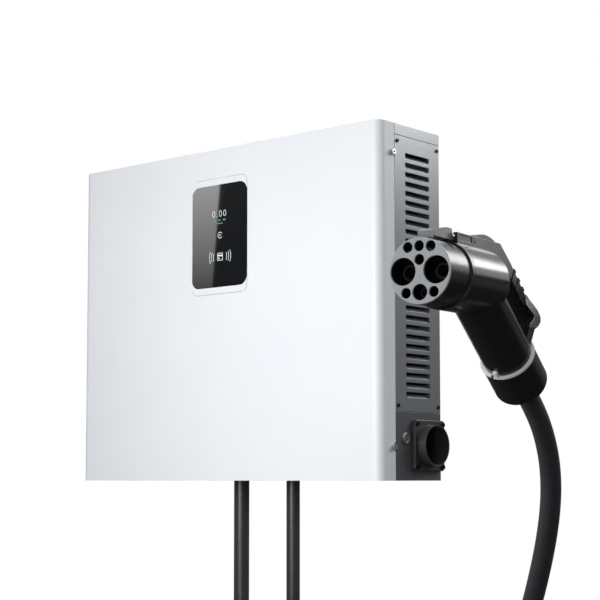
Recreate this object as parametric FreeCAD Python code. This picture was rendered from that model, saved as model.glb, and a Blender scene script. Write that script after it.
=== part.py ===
"""Wall-hung DC fast charging station with its holster, cables and DC connector.

Frame: millimetres, +Z up, the wall is the plane y = 0 and the front faces -Y.
The origin is the middle of the four bolt holes in the wall plate.
"""
import FreeCAD, Part
import os
from math import acos, cos, pi, radians, sin, sqrt, tan

V = FreeCAD.Vector
os.makedirs("parts", exist_ok=True)

# Cabinet
CAB_W = 730.0            # overall width
CAB_H = 600.0            # overall height
CAB_D = 170.0            # front face to back sheet
WALL_GAP = 12.0          # back sheet to wall
SHEET = 1.5              # covers and side panels
CHASSIS_T = 2.0          # rear chassis
COVER_DEPTH = 42.0       # side return of the front cover
COVER_RADIUS = 16.0      # vertical front edges
SEAM = 0.8               # open joint between outer sheets
SLIP = 0.1               # sheet over sheet

# Cover screws
COVER_SCREW_HEAD_R = 5.0
COVER_SCREW_HEAD_H = 5.0
COVER_SCREW_R = 2.5
COVER_SCREW_FROM_EDGE = 6.0
COVER_SCREW_DOWN = 50.3    # below the top edge
COVER_SCREW_UP = 55.5      # above the bottom edge
NOTCH_H = 15.0
NOTCH_DEPTH = 3.0

# Top cover and side panels
TOP_STRIP = 18.5         # folded side strip of the top cover
LOWER_PANEL_H = 114.5
LOUVER_PITCH = 16.2
LOUVER_DOWN = 51.3       # first slot below the top edge
LOUVER_FOOT = 28.0       # last slot at least this far above the panel's foot
LOUVER_LENGTH = 68.0
LOUVER_OPEN = 9.2
LOUVER_SCOOP = 7.2       # how far each blade is pressed in
LOUVER_T = 1.2
PANEL_SCREW_HEAD_R = 3.2
PANEL_SCREW_HEAD_H = 1.8
PANEL_SCREW_R = 1.7
PANEL_SCREW_INSET = 7.0
PANEL_SCREW_DROP = 9.7

# Display
GLASS_W = 136.0
GLASS_H = 211.0
GLASS_T = 2.3
GLASS_PROUD = 0.8
GLASS_RADIUS = 14.0
GLASS_DOWN = 159.0       # its centre below the top edge
WINDOW_CLEAR = 0.5
BEZEL_T = 4.0
BEZEL_LAP = 12.0

# Holster
HOLSTER_Y = -54.0
HOLSTER_UP = 59.0        # above the bottom edge
FLANGE_W = 84.0
FLANGE_H = 86.0
FLANGE_T = 7.0
GASKET_T = 1.0
HOLSTER_OUT = 23.0       # mouth stands off the side panel
HOLSTER_IN = 62.0        # depth behind the side panel
HOLSTER_WALL = 2.2
HOLSTER_CLEAR = 0.5      # radial, nose in bore
HOLSTER_SCREW_PITCH = 72.0
HOLSTER_SCREW_R = 2.0

# Lock
LOCK_Y = -112.0
LOCK_UP = 70.0           # above the bottom edge
LOCK_HEAD_R = 10.0
LOCK_HEAD_T = 2.5
LOCK_BODY_R = 8.0
LOCK_BODY_L = 18.0
LOCK_PLUG_R = 6.0
LOCK_FIT = 0.06
CAM_L = 36.0
CAM_W = 14.0
CAM_T = 3.0

# Cables
SUPPLY_D = 28.0
CHARGE_D = 24.0
SUPPLY_X = -22.0
CHARGE_X = 103.0
CABLE_Y = -97.0
GLAND_PLATE_UP = 40.0    # above the bottom edge
GLAND_MOUTH_UP = 16.0
TRAY_MARGIN = 38.0
TRAY_HALF_D = 45.0
SHEATH_ABOVE_PLATE = 15.0
CORE_SPACE = 0.7         # between cores that lie one over the other
SUPPLY_END_Z = -690.0
COIL_TOP_Z = -640.0      # where the charging cable's tied turns begin
COIL_RING_R = 120.0
COIL_TURNS = 4.25
COIL_PITCH = 24.6
COIL_HEADING = -32.9     # degrees, the coil's plane seen from above

# Inside the cabinet
MODULE_HALF_W = 255.0
MODULE_DOWN = 60.0       # power module's top below the cabinet's top
MODULE_UP = 240.0        # and its underside above the cabinet's foot
MODULE_FRONT = -104.0
MODULE_BACK = -20.0
MODULE_T = 1.5
FAN_T = 25.0
FAN_GAP = 15.0           # between two fan frames
PLATE_Y = -112.0
RAIL_Y = -40.0
RAIL_UP = 150.0          # device rail above the cabinet's foot
GEAR_HALF = 45.0
ROW_GAP = 21.3           # from the louvers to the first device
BREAKER_W = 90.0
LEVER_DEPTH = 62.0       # lever axis in front of the rail
TERMINAL_PITCH = 17.0
TERMINAL_W = 15.5
TERMINAL_GAP = 41.4      # from the chassis wall to the first terminal
TERMINAL_UP = 56.0       # their top above the cabinet's foot

# Wall side
BOLT_R = 5.5
WALL_T = 2.5

# Connector
NOSE_R = 32.5
NOSE_L = 55.0
FACE_T = 2.5
BARREL_R = 34.5
BARREL_END = 145.0
BODY_WALL = 3.0
GRIP_R = 27.0
GRIP_ORIGIN_Y = 113.6    # where the handle axis meets the barrel axis
GRIP_DROP = 36.3         # degrees below the barrel axis
GRIP_L = 123.0
COLLAR_R = 30.0
COLLAR_L = 54.0
SPIGOT_R = 24.8
HOUSING_HALF = 12.5
HOUSING_TOP = 43.5
BIG_HOLE_R = 13.6
SMALL_HOLE_R = 5.3
EARTH_HOLE_R = 8.0
LATCH_PIVOT = (104.0, 37.6)
LATCH_HALF = 7.0
PIN_R = 2.0
SEAT_TOP = 31.9          # block that the latch springs press on
ARM_FROM = (199.0, 27.0)
ARM_DROP = 38.0          # degrees below the barrel axis
ARM_L = 70.0
ARM_THICK = 15.0
FOOT_HALF = 24.0         # the arm's foot is as wide as the handle
FOOT_T = 12.0
TAB_TURN = 260.0         # degrees round the handle from its right side
CONTACT_END = 74.0
CONNECTOR_AT = V(1036.5, -986.8, -97.3)
CONNECTOR_YAW = 10.4
CONNECTOR_PITCH = 1.4

HALF_W = CAB_W / 2
HALF_H = CAB_H / 2
FRONT = -(WALL_GAP + CAB_D)
BACK = -WALL_GAP
COVER_EDGE = FRONT + COVER_DEPTH
SIDE_IN = HALF_W - SHEET            # inner face of the side panels
CH_HALF_W = SIDE_IN - SLIP          # outside of the chassis
CH_HALF_H = HALF_H - SHEET - SLIP
CH_FRONT = FRONT + COVER_RADIUS + 0.5
CH_IN_X = CH_HALF_W - CHASSIS_T
CH_IN_Z = CH_HALF_H - CHASSIS_T
CH_IN_Y = BACK - CHASSIS_T
LOWER_TOP = -HALF_H + LOWER_PANEL_H
PANEL_BOTTOM = LOWER_TOP + SEAM
PANEL_TOP = HALF_H - TOP_STRIP - SEAM
PANEL_FRONT = COVER_EDGE + SEAM
PANEL_BACK = BACK - SEAM
PANEL_MID_Y = (PANEL_FRONT + PANEL_BACK) / 2
HOLSTER_BORE_R = NOSE_R + HOLSTER_CLEAR
HOLSTER_R = HOLSTER_BORE_R + HOLSTER_WALL
HOLSTER_Z = -HALF_H + HOLSTER_UP
LOCK_Z = -HALF_H + LOCK_UP
GLASS_Z = HALF_H - GLASS_DOWN
COVER_SCREW_HEIGHTS = (HALF_H - COVER_SCREW_DOWN, -HALF_H + COVER_SCREW_UP)
LOUVER_TOP = HALF_H - LOUVER_DOWN
LOUVER_COUNT = int((LOUVER_TOP - PANEL_BOTTOM - LOUVER_FOOT) / LOUVER_PITCH) + 1
GLAND_PLATE_Z = -HALF_H + GLAND_PLATE_UP
GLAND_MOUTH_Z = -HALF_H + GLAND_MOUTH_UP
MODULE = dict(x0=-MODULE_HALF_W, x1=MODULE_HALF_W, y0=MODULE_FRONT, y1=MODULE_BACK,
              z0=-HALF_H + MODULE_UP, z1=HALF_H - MODULE_DOWN)
MODULE_H = MODULE["z1"] - MODULE["z0"]
FAN_PITCH = MODULE_H * 0.95 / 3
FAN = min(FAN_PITCH - FAN_GAP, MODULE_BACK - MODULE_FRONT - 4)
FAN_BORE_R = FAN / 2 - 2
FAN_Z = [(MODULE["z0"] + MODULE["z1"]) / 2 + k * FAN_PITCH for k in (-1, 0, 1)]
FAN_Y = (MODULE_FRONT + MODULE_BACK) / 2
FAN_X = MODULE["x0"] + MODULE_T + 0.5
RAIL_Z = -HALF_H + RAIL_UP
ROW_X = -(SIDE_IN - LOUVER_SCOOP - ROW_GAP)
BREAKER_X = (ROW_X, ROW_X + BREAKER_W)
LEVER_AXIS = (RAIL_Y - LEVER_DEPTH, RAIL_Z)
POLE = BREAKER_W / 4
ROW_NEXT = BREAKER_X[1] + 5         # first device after the breaker
DC_CONTACTORS_X = ((ROW_NEXT + 240, ROW_NEXT + 302), (ROW_NEXT + 312, ROW_NEXT + 374))
FUSE_X = ROW_NEXT + 386
FUSE_L = 82.0
PLATE_HALF_W = HALF_W - 95          # wall plate
PLATE_HALF_H = HALF_H - 100
BOLT_X = PLATE_HALF_W - 30
BOLT_Z = PLATE_HALF_H - 30
HOOK_TOP = PLATE_HALF_H + 14
TERMINAL_X = -CH_IN_X + TERMINAL_GAP
TERMINAL_TOP = -HALF_H + TERMINAL_UP
BOOT_END = GRIP_L + COLLAR_L + 12.0
STUB_START = GRIP_L - 20.0


def box(x0, x1, y0, y1, z0, z1):
    """Box between two corners."""
    return Part.makeBox(x1 - x0, y1 - y0, z1 - z0, V(x0, y0, z0))


def cyl(x, y, z, axis, r, h):
    """Cylinder from a base point along an axis."""
    return Part.makeCylinder(r, h, V(x, y, z), V(*axis))


def fillet_along(shape, axis, r, keep=lambda p: True):
    """Round the straight edges parallel to an axis whose middle passes the test."""
    direction = V(*axis)
    edges = []
    for e in shape.Edges:
        if len(e.Vertexes) != 2:
            continue
        d = e.Vertexes[1].Point - e.Vertexes[0].Point
        if d.Length > 1e-6 and abs(abs(d.normalize().dot(direction)) - 1) < 1e-6:
            if keep(e.CenterOfMass):
                edges.append(e)
    return shape.makeFillet(r, edges)


def rounded(x0, x1, y0, y1, z0, z1, axis, r):
    """Box with its four edges along one axis rounded."""
    return fillet_along(box(x0, x1, y0, y1, z0, z1), axis, r)


def prism(points, plane, a, b):
    """Extrude a polygon from a to b. Plane yz runs along x, xz along y, xy along z."""
    lift = {"yz": lambda u, v: V(a, u, v), "xz": lambda u, v: V(u, a, v),
            "xy": lambda u, v: V(u, v, a)}[plane]
    run = {"yz": V(b - a, 0, 0), "xz": V(0, b - a, 0), "xy": V(0, 0, b - a)}[plane]
    corners = [lift(u, v) for u, v in points]
    return Part.Face(Part.makePolygon(corners + corners[:1])).extrude(run)


def hexagon(x, y, z, axis, across, h):
    """Hexagonal prism, flats given across."""
    r = across / sqrt(3)
    pts = [V(r * cos(radians(60 * k)), r * sin(radians(60 * k)), 0) for k in range(6)]
    solid = Part.Face(Part.makePolygon(pts + pts[:1])).extrude(V(0, 0, h))
    solid.Placement = FreeCAD.Placement(V(x, y, z), FreeCAD.Rotation(V(0, 0, 1), V(*axis)))
    return solid


def join(first, *rest):
    """Fuse solids into one clean solid."""
    return first.multiFuse(list(rest)).removeSplitter()


def mirror_x(shape):
    """Mirror across the middle plane of the cabinet."""
    return shape.mirror(V(0, 0, 0), V(1, 0, 0))


def group(*shapes):
    """Separate solids that share one node."""
    solids = []
    for s in shapes:
        solids.extend(s.Solids)
    return Part.makeCompound(solids)


def rounded_path(points):
    """Straight runs joined by tangent arcs; also gives the smallest radius."""
    edges = []
    radii = []
    start = points[0]
    for before, at, after in zip(points, points[1:], points[2:]):
        u = (at - before)
        w = (after - at)
        short = min(u.Length, w.Length)
        u = u.normalize()
        w = w.normalize()
        turn = acos(max(-1.0, min(1.0, u.dot(w))))
        r = 0.45 * short / tan(turn / 2)
        cut = 0.45 * short
        a = at - u * cut
        b = at + w * cut
        inward = (w - u).normalize()
        middle = at + inward * (r / cos(turn / 2) - r)
        edges.append(Part.makeLine(start, a))
        edges.append(Part.Arc(a, middle, b).toShape())
        radii.append(r)
        start = b
    edges.append(Part.makeLine(start, points[-1]))
    return Part.Wire(edges), (min(radii) if radii else None)


def cable(points, d):
    """Round cable along a rounded path."""
    wire, r = rounded_path(points)
    along = (points[1] - points[0]).normalize()
    disc = Part.Face(Part.Wire(Part.makeCircle(d / 2, points[0], along)))
    return wire.makePipe(disc), wire.Length, r


NODES = {}


def keep(name, shape):
    """Remember a finished node."""
    NODES[name] = shape


# Front cover
def make_cover():
    """Folded pan with rounded vertical edges, display window and open screw slots."""
    on_front = lambda p: p.y < FRONT + COVER_DEPTH / 2
    outer = fillet_along(box(-HALF_W, HALF_W, FRONT, COVER_EDGE, -HALF_H, HALF_H),
                         (0, 0, 1), COVER_RADIUS, on_front)
    inner = fillet_along(box(-SIDE_IN, SIDE_IN, FRONT + SHEET, COVER_EDGE + 1,
                             -HALF_H + SHEET, HALF_H - SHEET),
                         (0, 0, 1), COVER_RADIUS - SHEET, on_front)
    pan = outer.cut(inner)
    half = GLASS_W / 2 + WINDOW_CLEAR
    tall = GLASS_H / 2 + WINDOW_CLEAR
    window = rounded(-half, half, FRONT - 1, FRONT + SHEET + 1, GLASS_Z - tall, GLASS_Z + tall,
                     (0, 1, 0), GLASS_RADIUS + WINDOW_CLEAR)
    cuts = [window]
    for side in (-1, 1):
        for z in COVER_SCREW_HEIGHTS:
            x0, x1 = sorted((side * (SIDE_IN - 1), side * (HALF_W + 1)))
            y = COVER_EDGE - COVER_SCREW_FROM_EDGE
            slot = COVER_SCREW_R + 0.6
            cuts.append(box(x0, x1, y, COVER_EDGE + 1, z - slot, z + slot))
            cuts.append(cyl(x0, y, z, (1, 0, 0), slot, x1 - x0))
            cuts.append(box(x0, x1, COVER_EDGE - NOTCH_DEPTH, COVER_EDGE + 1,
                            z - NOTCH_H / 2, z + NOTCH_H / 2))
    return pan.cut(Part.makeCompound(cuts))


def make_cover_screws():
    """Cap screws that stand proud in the open slots."""
    screws = []
    for side in (-1, 1):
        for z in COVER_SCREW_HEIGHTS:
            y = COVER_EDGE - COVER_SCREW_FROM_EDGE
            head = cyl(side * HALF_W, y, z, (side, 0, 0), COVER_SCREW_HEAD_R, COVER_SCREW_HEAD_H)
            key = hexagon(side * (HALF_W + COVER_SCREW_HEAD_H), y, z, (-side, 0, 0), 4.0, 2.5)
            shank = cyl(side * (CH_IN_X - 6), y, z, (side, 0, 0), COVER_SCREW_R,
                        HALF_W - CH_IN_X + 6)
            screws.append(join(head.cut(key), shank))
    return group(*screws)


def make_catch():
    """Bracket on the cover that the lock's cam holds from behind."""
    x = SIDE_IN - CAM_L - 9.5
    z0 = LOCK_Z + 16
    z1 = LOCK_Z + 34
    strip = box(x, x + 2, FRONT + SHEET, LOCK_Y + 14, z0, z1)
    foot = box(x - 18, x + 2, FRONT + SHEET, FRONT + SHEET + 2, z0, z1)
    lip = box(x, x + 28, LOCK_Y + CAM_W / 2 + 1, LOCK_Y + CAM_W / 2 + 3, z0, z1)
    return join(strip, foot, lip)


# Chassis, top cover and side panels
def tray_box():
    """Plan limits of the gland tray."""
    x0 = SUPPLY_X - TRAY_MARGIN
    x1 = CHARGE_X + TRAY_MARGIN
    return x0, x1, CABLE_Y - TRAY_HALF_D, CABLE_Y + TRAY_HALF_D


def make_chassis():
    """Rear tray with a front rim, side air windows and the holes for what is let in."""
    shell = box(-CH_HALF_W, CH_HALF_W, CH_FRONT, BACK, -CH_HALF_H, CH_HALF_H)
    hollow = box(-CH_IN_X, CH_IN_X, CH_FRONT + CHASSIS_T, CH_IN_Y, -CH_IN_Z, CH_IN_Z)
    rim = 12.0
    mouth = box(-CH_IN_X + rim, CH_IN_X - rim, CH_FRONT - 1, CH_FRONT + CHASSIS_T + 1,
                -CH_IN_Z + rim, CH_IN_Z - rim)
    low = LOUVER_TOP - (LOUVER_COUNT - 1) * LOUVER_PITCH
    cuts = [hollow, mouth]
    for side in (-1, 1):
        x0, x1 = sorted((side * (CH_IN_X - 1), side * (CH_HALF_W + 1)))
        cuts.append(box(x0, x1, PANEL_MID_Y - LOUVER_LENGTH / 2 - 4,
                        PANEL_MID_Y + LOUVER_LENGTH / 2 + 4, low - 10, LOUVER_TOP + 10))
    x0, x1, y0, y1 = tray_box()
    cuts.append(box(x0, x1, y0, y1, -CH_HALF_H - 1, -CH_IN_Z + 1))
    cuts.append(cyl(CH_IN_X - 1, HOLSTER_Y, HOLSTER_Z, (1, 0, 0), HOLSTER_R + 0.5, 5))
    cuts.append(cyl(CH_IN_X - 1, LOCK_Y, LOCK_Z, (1, 0, 0), LOCK_BODY_R + 0.1, 5))
    cuts += [cyl(CH_IN_X - 1, y, z, (1, 0, 0), HOLSTER_SCREW_R + 0.05, 5)
             for y, z in holster_screw_points()]
    for side in (-1, 1):
        x0 = side * (CH_IN_X - 1)
        cuts += [cyl(x0, y, z, (side, 0, 0), PANEL_SCREW_R + 0.05, 5)
                 for y, z in panel_screw_points()]
        cuts += [cyl(x0, COVER_EDGE - COVER_SCREW_FROM_EDGE, z, (side, 0, 0), COVER_SCREW_R + 0.05, 5)
                 for z in COVER_SCREW_HEIGHTS]
    return shell.cut(Part.makeCompound(cuts))


def make_top_cover():
    """Flat top with its two folded side strips."""
    plate = box(-HALF_W, HALF_W, PANEL_FRONT, BACK, HALF_H - SHEET, HALF_H)
    right = box(SIDE_IN, HALF_W, PANEL_FRONT, BACK, HALF_H - TOP_STRIP, HALF_H)
    left = box(-HALF_W, -SIDE_IN, PANEL_FRONT, BACK, HALF_H - TOP_STRIP, HALF_H)
    return join(plate, right, left)


def make_vent_panel():
    """Right panel: each louver is a slot with a blade and two cheeks pressed inwards."""
    plate = box(SIDE_IN, HALF_W, PANEL_FRONT, PANEL_BACK, PANEL_BOTTOM, PANEL_TOP)
    half = LOUVER_LENGTH / 2
    lip = LOUVER_OPEN / 2
    corner = 2.5
    slots = []
    blades = []
    for k in range(LOUVER_COUNT):
        z = LOUVER_TOP - k * LOUVER_PITCH
        outline = [(PANEL_MID_Y - half, z + lip), (PANEL_MID_Y + half, z + lip),
                   (PANEL_MID_Y + half, z - lip + corner), (PANEL_MID_Y + half - corner, z - lip),
                   (PANEL_MID_Y - half + corner, z - lip), (PANEL_MID_Y - half, z - lip + corner)]
        slots.append(prism(outline, "yz", SIDE_IN - 1, HALF_W + 1))
        tip = SIDE_IN - LOUVER_SCOOP
        rise = LOUVER_SCOOP - lip
        blade = [(SIDE_IN, z - lip), (SIDE_IN, z - lip - 1.6), (tip, z + rise - 1.6), (tip, z + rise)]
        cheek = [(SIDE_IN, z - lip), (tip, z + rise), (tip, z + lip - 0.5), (SIDE_IN, z + lip)]
        blades.append(prism(blade, "xz", PANEL_MID_Y - half - LOUVER_T, PANEL_MID_Y + half + LOUVER_T))
        for end in (PANEL_MID_Y - half - LOUVER_T, PANEL_MID_Y + half):
            blades.append(prism(cheek, "xz", end, end + LOUVER_T))
    holes = [cyl(SIDE_IN - 1, y, z, (1, 0, 0), PANEL_SCREW_R + 0.2, SHEET + 2)
             for y, z in panel_screw_points()]
    plate = plate.cut(Part.makeCompound(slots + holes))
    return join(plate, *blades)


def panel_screw_points():
    """Corner screws of a vent panel, as (y, z)."""
    return [(y, z) for y in (PANEL_FRONT + PANEL_SCREW_INSET, PANEL_BACK - PANEL_SCREW_INSET + 1)
            for z in (PANEL_TOP - PANEL_SCREW_DROP, PANEL_BOTTOM + PANEL_SCREW_DROP)]


def make_panel_screws():
    """Small pan screws of both vent panels."""
    screws = []
    for side in (-1, 1):
        for y, z in panel_screw_points():
            head = cyl(side * HALF_W, y, z, (side, 0, 0), PANEL_SCREW_HEAD_R, PANEL_SCREW_HEAD_H)
            key = hexagon(side * (HALF_W + PANEL_SCREW_HEAD_H), y, z, (-side, 0, 0), 2.5, 1.2)
            shank = cyl(side * (CH_IN_X - 4), y, z, (side, 0, 0), PANEL_SCREW_R,
                        HALF_W - CH_IN_X + 4)
            screws.append(join(head.cut(key), shank))
    return group(*screws)


def make_lower_panel():
    """Black lower side panel."""
    return box(SIDE_IN, HALF_W, PANEL_FRONT, PANEL_BACK, -HALF_H, LOWER_TOP)


# Holster and lock
def make_holster():
    """Square flange with a round tube, closed at its inner end, notched for the latch."""
    x0 = HALF_W + GASKET_T
    flange = rounded(x0, x0 + FLANGE_T, HOLSTER_Y - FLANGE_W / 2, HOLSTER_Y + FLANGE_W / 2,
                     HOLSTER_Z - FLANGE_H / 2, HOLSTER_Z + FLANGE_H / 2, (1, 0, 0), 6.0)
    flange = flange.makeChamfer(1.0, [e for e in flange.Edges
                                      if abs(e.BoundBox.XMin - (x0 + FLANGE_T)) < 1e-3])
    tube = cyl(HALF_W - HOLSTER_IN, HOLSTER_Y, HOLSTER_Z, (1, 0, 0), HOLSTER_R,
               HOLSTER_IN + HOLSTER_OUT)
    bore = cyl(HALF_W - HOLSTER_IN + 3, HOLSTER_Y, HOLSTER_Z, (1, 0, 0), HOLSTER_BORE_R,
               HOLSTER_IN + HOLSTER_OUT)
    notch = box(HALF_W + HOLSTER_OUT - 13, HALF_W + HOLSTER_OUT + 1, HOLSTER_Y - LATCH_HALF - 1,
                HOLSTER_Y + LATCH_HALF + 1, HOLSTER_Z, HOLSTER_Z + HOLSTER_R + 1)
    holes = [cyl(x0 - 1, y, z, (1, 0, 0), HOLSTER_SCREW_R + 0.2, FLANGE_T + 2) for y, z in holster_screw_points()]
    return join(flange, tube).cut(Part.makeCompound([bore, notch] + holes))


def holster_screw_points():
    """Screws of the holster flange, as (y, z)."""
    h = HOLSTER_SCREW_PITCH / 2
    return [(HOLSTER_Y + a, HOLSTER_Z + b) for a in (-h, h) for b in (-h, h)]


def make_holster_gasket():
    """Sealing sheet under the flange."""
    sheet = rounded(HALF_W, HALF_W + GASKET_T, HOLSTER_Y - FLANGE_W / 2, HOLSTER_Y + FLANGE_W / 2,
                    HOLSTER_Z - FLANGE_H / 2, HOLSTER_Z + FLANGE_H / 2, (1, 0, 0), 6.0)
    cuts = [cyl(HALF_W - 1, HOLSTER_Y, HOLSTER_Z, (1, 0, 0), HOLSTER_R + 0.2, 4)]
    cuts += [cyl(HALF_W - 1, y, z, (1, 0, 0), HOLSTER_SCREW_R + 0.2, 4) for y, z in holster_screw_points()]
    return sheet.cut(Part.makeCompound(cuts))


def make_holster_screws():
    """Pan screws with a cross recess."""
    x = HALF_W + GASKET_T + FLANGE_T
    screws = []
    for y, z in holster_screw_points():
        head = cyl(x, y, z, (1, 0, 0), 4.0, 2.6)
        cross = join(box(x + 1.6, x + 4, y - 2, y + 2, z - 0.5, z + 0.5),
                     box(x + 1.6, x + 4, y - 0.5, y + 0.5, z - 2, z + 2))
        shank = cyl(CH_IN_X - 3, y, z, (1, 0, 0), HOLSTER_SCREW_R, x - CH_IN_X + 3)
        screws.append(join(head.cut(cross), shank))
    return group(*screws)


def make_lock_barrel():
    """Round head and body of the cam lock."""
    head = cyl(HALF_W, LOCK_Y, LOCK_Z, (1, 0, 0), LOCK_HEAD_R, LOCK_HEAD_T)
    head = head.makeChamfer(0.8, [e for e in head.Edges
                                  if abs(e.BoundBox.XMin - (HALF_W + LOCK_HEAD_T)) < 1e-3])
    body = cyl(HALF_W - LOCK_BODY_L, LOCK_Y, LOCK_Z, (1, 0, 0), LOCK_BODY_R, LOCK_BODY_L)
    bore = cyl(HALF_W - LOCK_BODY_L - 1, LOCK_Y, LOCK_Z, (1, 0, 0), LOCK_PLUG_R + LOCK_FIT,
               LOCK_BODY_L + LOCK_HEAD_T + 2)
    return join(head, body).cut(bore)


def make_lock_plug():
    """Turning plug with its key slot and the square tail that carries the cam."""
    x0 = HALF_W - LOCK_BODY_L
    plug = cyl(x0, LOCK_Y, LOCK_Z, (1, 0, 0), LOCK_PLUG_R, LOCK_BODY_L + LOCK_HEAD_T - 0.4)
    tail = box(x0 - CAM_T - 2, x0, LOCK_Y - 3, LOCK_Y + 3, LOCK_Z - 3, LOCK_Z + 3)
    top = HALF_W + LOCK_HEAD_T - 0.4
    slot = box(top - 4, top + 1, LOCK_Y - 0.8, LOCK_Y + 0.8, LOCK_Z - 4, LOCK_Z + 4)
    return join(plug, tail).cut(slot)


def make_lock_cam():
    """Flat cam on the square tail, upright when locked."""
    x1 = HALF_W - LOCK_BODY_L
    arm = box(x1 - CAM_T, x1, LOCK_Y - CAM_W / 2, LOCK_Y + CAM_W / 2, LOCK_Z, LOCK_Z + CAM_L)
    hub = cyl(x1 - CAM_T, LOCK_Y, LOCK_Z, (1, 0, 0), CAM_W / 2, CAM_T)
    hole = box(x1 - CAM_T - 1, x1 + 1, LOCK_Y - 3, LOCK_Y + 3, LOCK_Z - 3, LOCK_Z + 3)
    return join(arm, hub).cut(hole)


def make_lock_nut():
    """Flat nut behind the chassis sheet."""
    nut = hexagon(CH_IN_X - 4, LOCK_Y, LOCK_Z, (1, 0, 0), 22.0, 4)
    return nut.cut(cyl(CH_IN_X - 5, LOCK_Y, LOCK_Z, (1, 0, 0), LOCK_BODY_R + 0.05, 6))


# Display group
def make_glass():
    """Front glass, a little proud of the cover."""
    y0 = FRONT - GLASS_PROUD
    glass = rounded(-GLASS_W / 2, GLASS_W / 2, y0, y0 + GLASS_T, GLASS_Z - GLASS_H / 2,
                    GLASS_Z + GLASS_H / 2, (0, 1, 0), GLASS_RADIUS)
    return glass.makeChamfer(0.4, [e for e in glass.Edges if abs(e.BoundBox.YMax - y0) < 1e-3])


def make_bezel():
    """Frame behind the cover that the glass is bonded to."""
    y0 = FRONT - GLASS_PROUD + GLASS_T
    w = GLASS_W / 2 + BEZEL_LAP
    h = GLASS_H / 2 + BEZEL_LAP
    plate = box(-w, w, y0, y0 + BEZEL_T, GLASS_Z - h, GLASS_Z + h)
    opening = box(-w + 2 * BEZEL_LAP, w - 2 * BEZEL_LAP, y0 - 1, y0 + BEZEL_T + 1,
                  GLASS_Z - h + 2 * BEZEL_LAP, GLASS_Z + h - 2 * BEZEL_LAP)
    return plate.cut(opening)


def make_display_module():
    """Screen in its metal frame on a circuit board."""
    y0 = FRONT - GLASS_PROUD + GLASS_T + BEZEL_T
    w = GLASS_W / 2 - 6
    z0 = GLASS_Z - 0.057 * GLASS_H
    z1 = GLASS_Z + GLASS_H / 2 - 10.5
    frame = box(-w, w, y0, y0 + 5, z0, z1)
    board = box(-w - 2, w + 2, y0 + 5, y0 + 6.6, z0 - 4, z1 + 2)
    plug = box(-20, 20, y0 + 6.6, y0 + 14, z0 + 2, z0 + 10)
    return join(frame, board, plug)


def make_reader():
    """Card reader board with its aerial loop."""
    y0 = FRONT - GLASS_PROUD + GLASS_T + BEZEL_T
    w = GLASS_W / 2 - 6
    z0 = GLASS_Z - GLASS_H / 2 + 9.5
    z1 = z0 + 0.341 * GLASS_H
    board = box(-w, w, y0, y0 + 1.6, z0, z1)
    loop = box(-34, 34, y0 - 1, y0, z0 + 6, z1 - 6).cut(box(-30, 30, y0 - 2, y0 + 1, z0 + 10, z1 - 10))
    chip = box(-8, 8, y0 + 1.6, y0 + 4, z0 + 30, z0 + 46)
    return join(board, loop, chip)


# Cable entry
def make_gland_tray():
    """Upturned pan that sets the glands back above the bottom edge."""
    x0, x1, y0, y1 = tray_box()
    t = CHASSIS_T
    z0 = -CH_IN_Z
    shell = box(x0 - t, x1 + t, y0 - t, y1 + t, z0, GLAND_PLATE_Z + t)
    shell = shell.cut(box(x0, x1, y0, y1, z0 - 1, GLAND_PLATE_Z))
    flange = box(x0 - 12, x1 + 12, y0 - 12, y1 + 12, z0, z0 + t)
    flange = flange.cut(box(x0, x1, y0, y1, z0 - 1, z0 + t + 1))
    holes = [cyl(x, CABLE_Y, GLAND_PLATE_Z - 1, (0, 0, 1), d / 2 + 4.2, t + 2)
             for x, d in ((SUPPLY_X, SUPPLY_D), (CHARGE_X, CHARGE_D))]
    return join(shell, flange).cut(Part.makeCompound(holes))


def make_gland(x, d):
    """Gland body: thread through the plate, hexagon and domed cap below it."""
    across = d + 16
    thread = cyl(x, CABLE_Y, GLAND_PLATE_Z, (0, 0, 1), d / 2 + 4, 12)
    flats = hexagon(x, CABLE_Y, GLAND_PLATE_Z, (0, 0, -1), across, 8)
    z1 = GLAND_PLATE_Z - 8
    cap = Part.makeCone(d / 2 + 7, d / 2 + 3, z1 - GLAND_MOUTH_Z, V(x, CABLE_Y, z1), V(0, 0, -1))
    bore = cyl(x, CABLE_Y, GLAND_MOUTH_Z - 1, (0, 0, 1), d / 2 + SLIP, 40)
    return join(thread, flats, cap).cut(bore)


def make_gland_nut(x, d):
    """Locking nut on the gland thread."""
    nut = hexagon(x, CABLE_Y, GLAND_PLATE_Z + CHASSIS_T, (0, 0, 1), d + 14, 5)
    return nut.cut(cyl(x, CABLE_Y, GLAND_PLATE_Z, (0, 0, 1), d / 2 + 4.05, 12))


def make_inner_cable(x, d, core_r, first_turn, targets):
    """Sheathed end inside the cabinet and its cores, each at a height of its own.

    The core that leaves nearest the targets runs lowest and ends first, so none crosses another.
    """
    top = GLAND_PLATE_Z + SHEATH_ABOVE_PLATE
    sheath = cyl(x, CABLE_Y, GLAND_MOUTH_Z, (0, 0, 1), d / 2, top - GLAND_MOUTH_Z)
    r = d / 2 - core_r - 1
    count = len(targets)
    turns = [360 * k / count + first_turn for k in range(count)]
    starts = sorted((x + r * cos(radians(a)), CABLE_Y + r * sin(radians(a))) for a in turns)
    cores = []
    for k, (start, target) in enumerate(zip(starts, sorted(targets, reverse=True))):
        level = top + 14 + k * (2 * core_r + CORE_SPACE)
        route = [V(*start, top), V(*start, level), V(target[0], target[1], level), V(*target)]
        cores.append(cable(route, 2 * core_r)[0])
    return [sheath] + cores


# Power module
def level(share):
    """Height at a share of the module's own height."""
    return MODULE["z0"] + share * MODULE_H


def module_box(inset=0.0):
    """Module's outline, or its inside at a wall's thickness."""
    m = MODULE
    return box(m["x0"] + inset, m["x1"] - inset, m["y0"] + inset, m["y1"] - inset,
               m["z0"] + inset, m["z1"] - inset)


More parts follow.
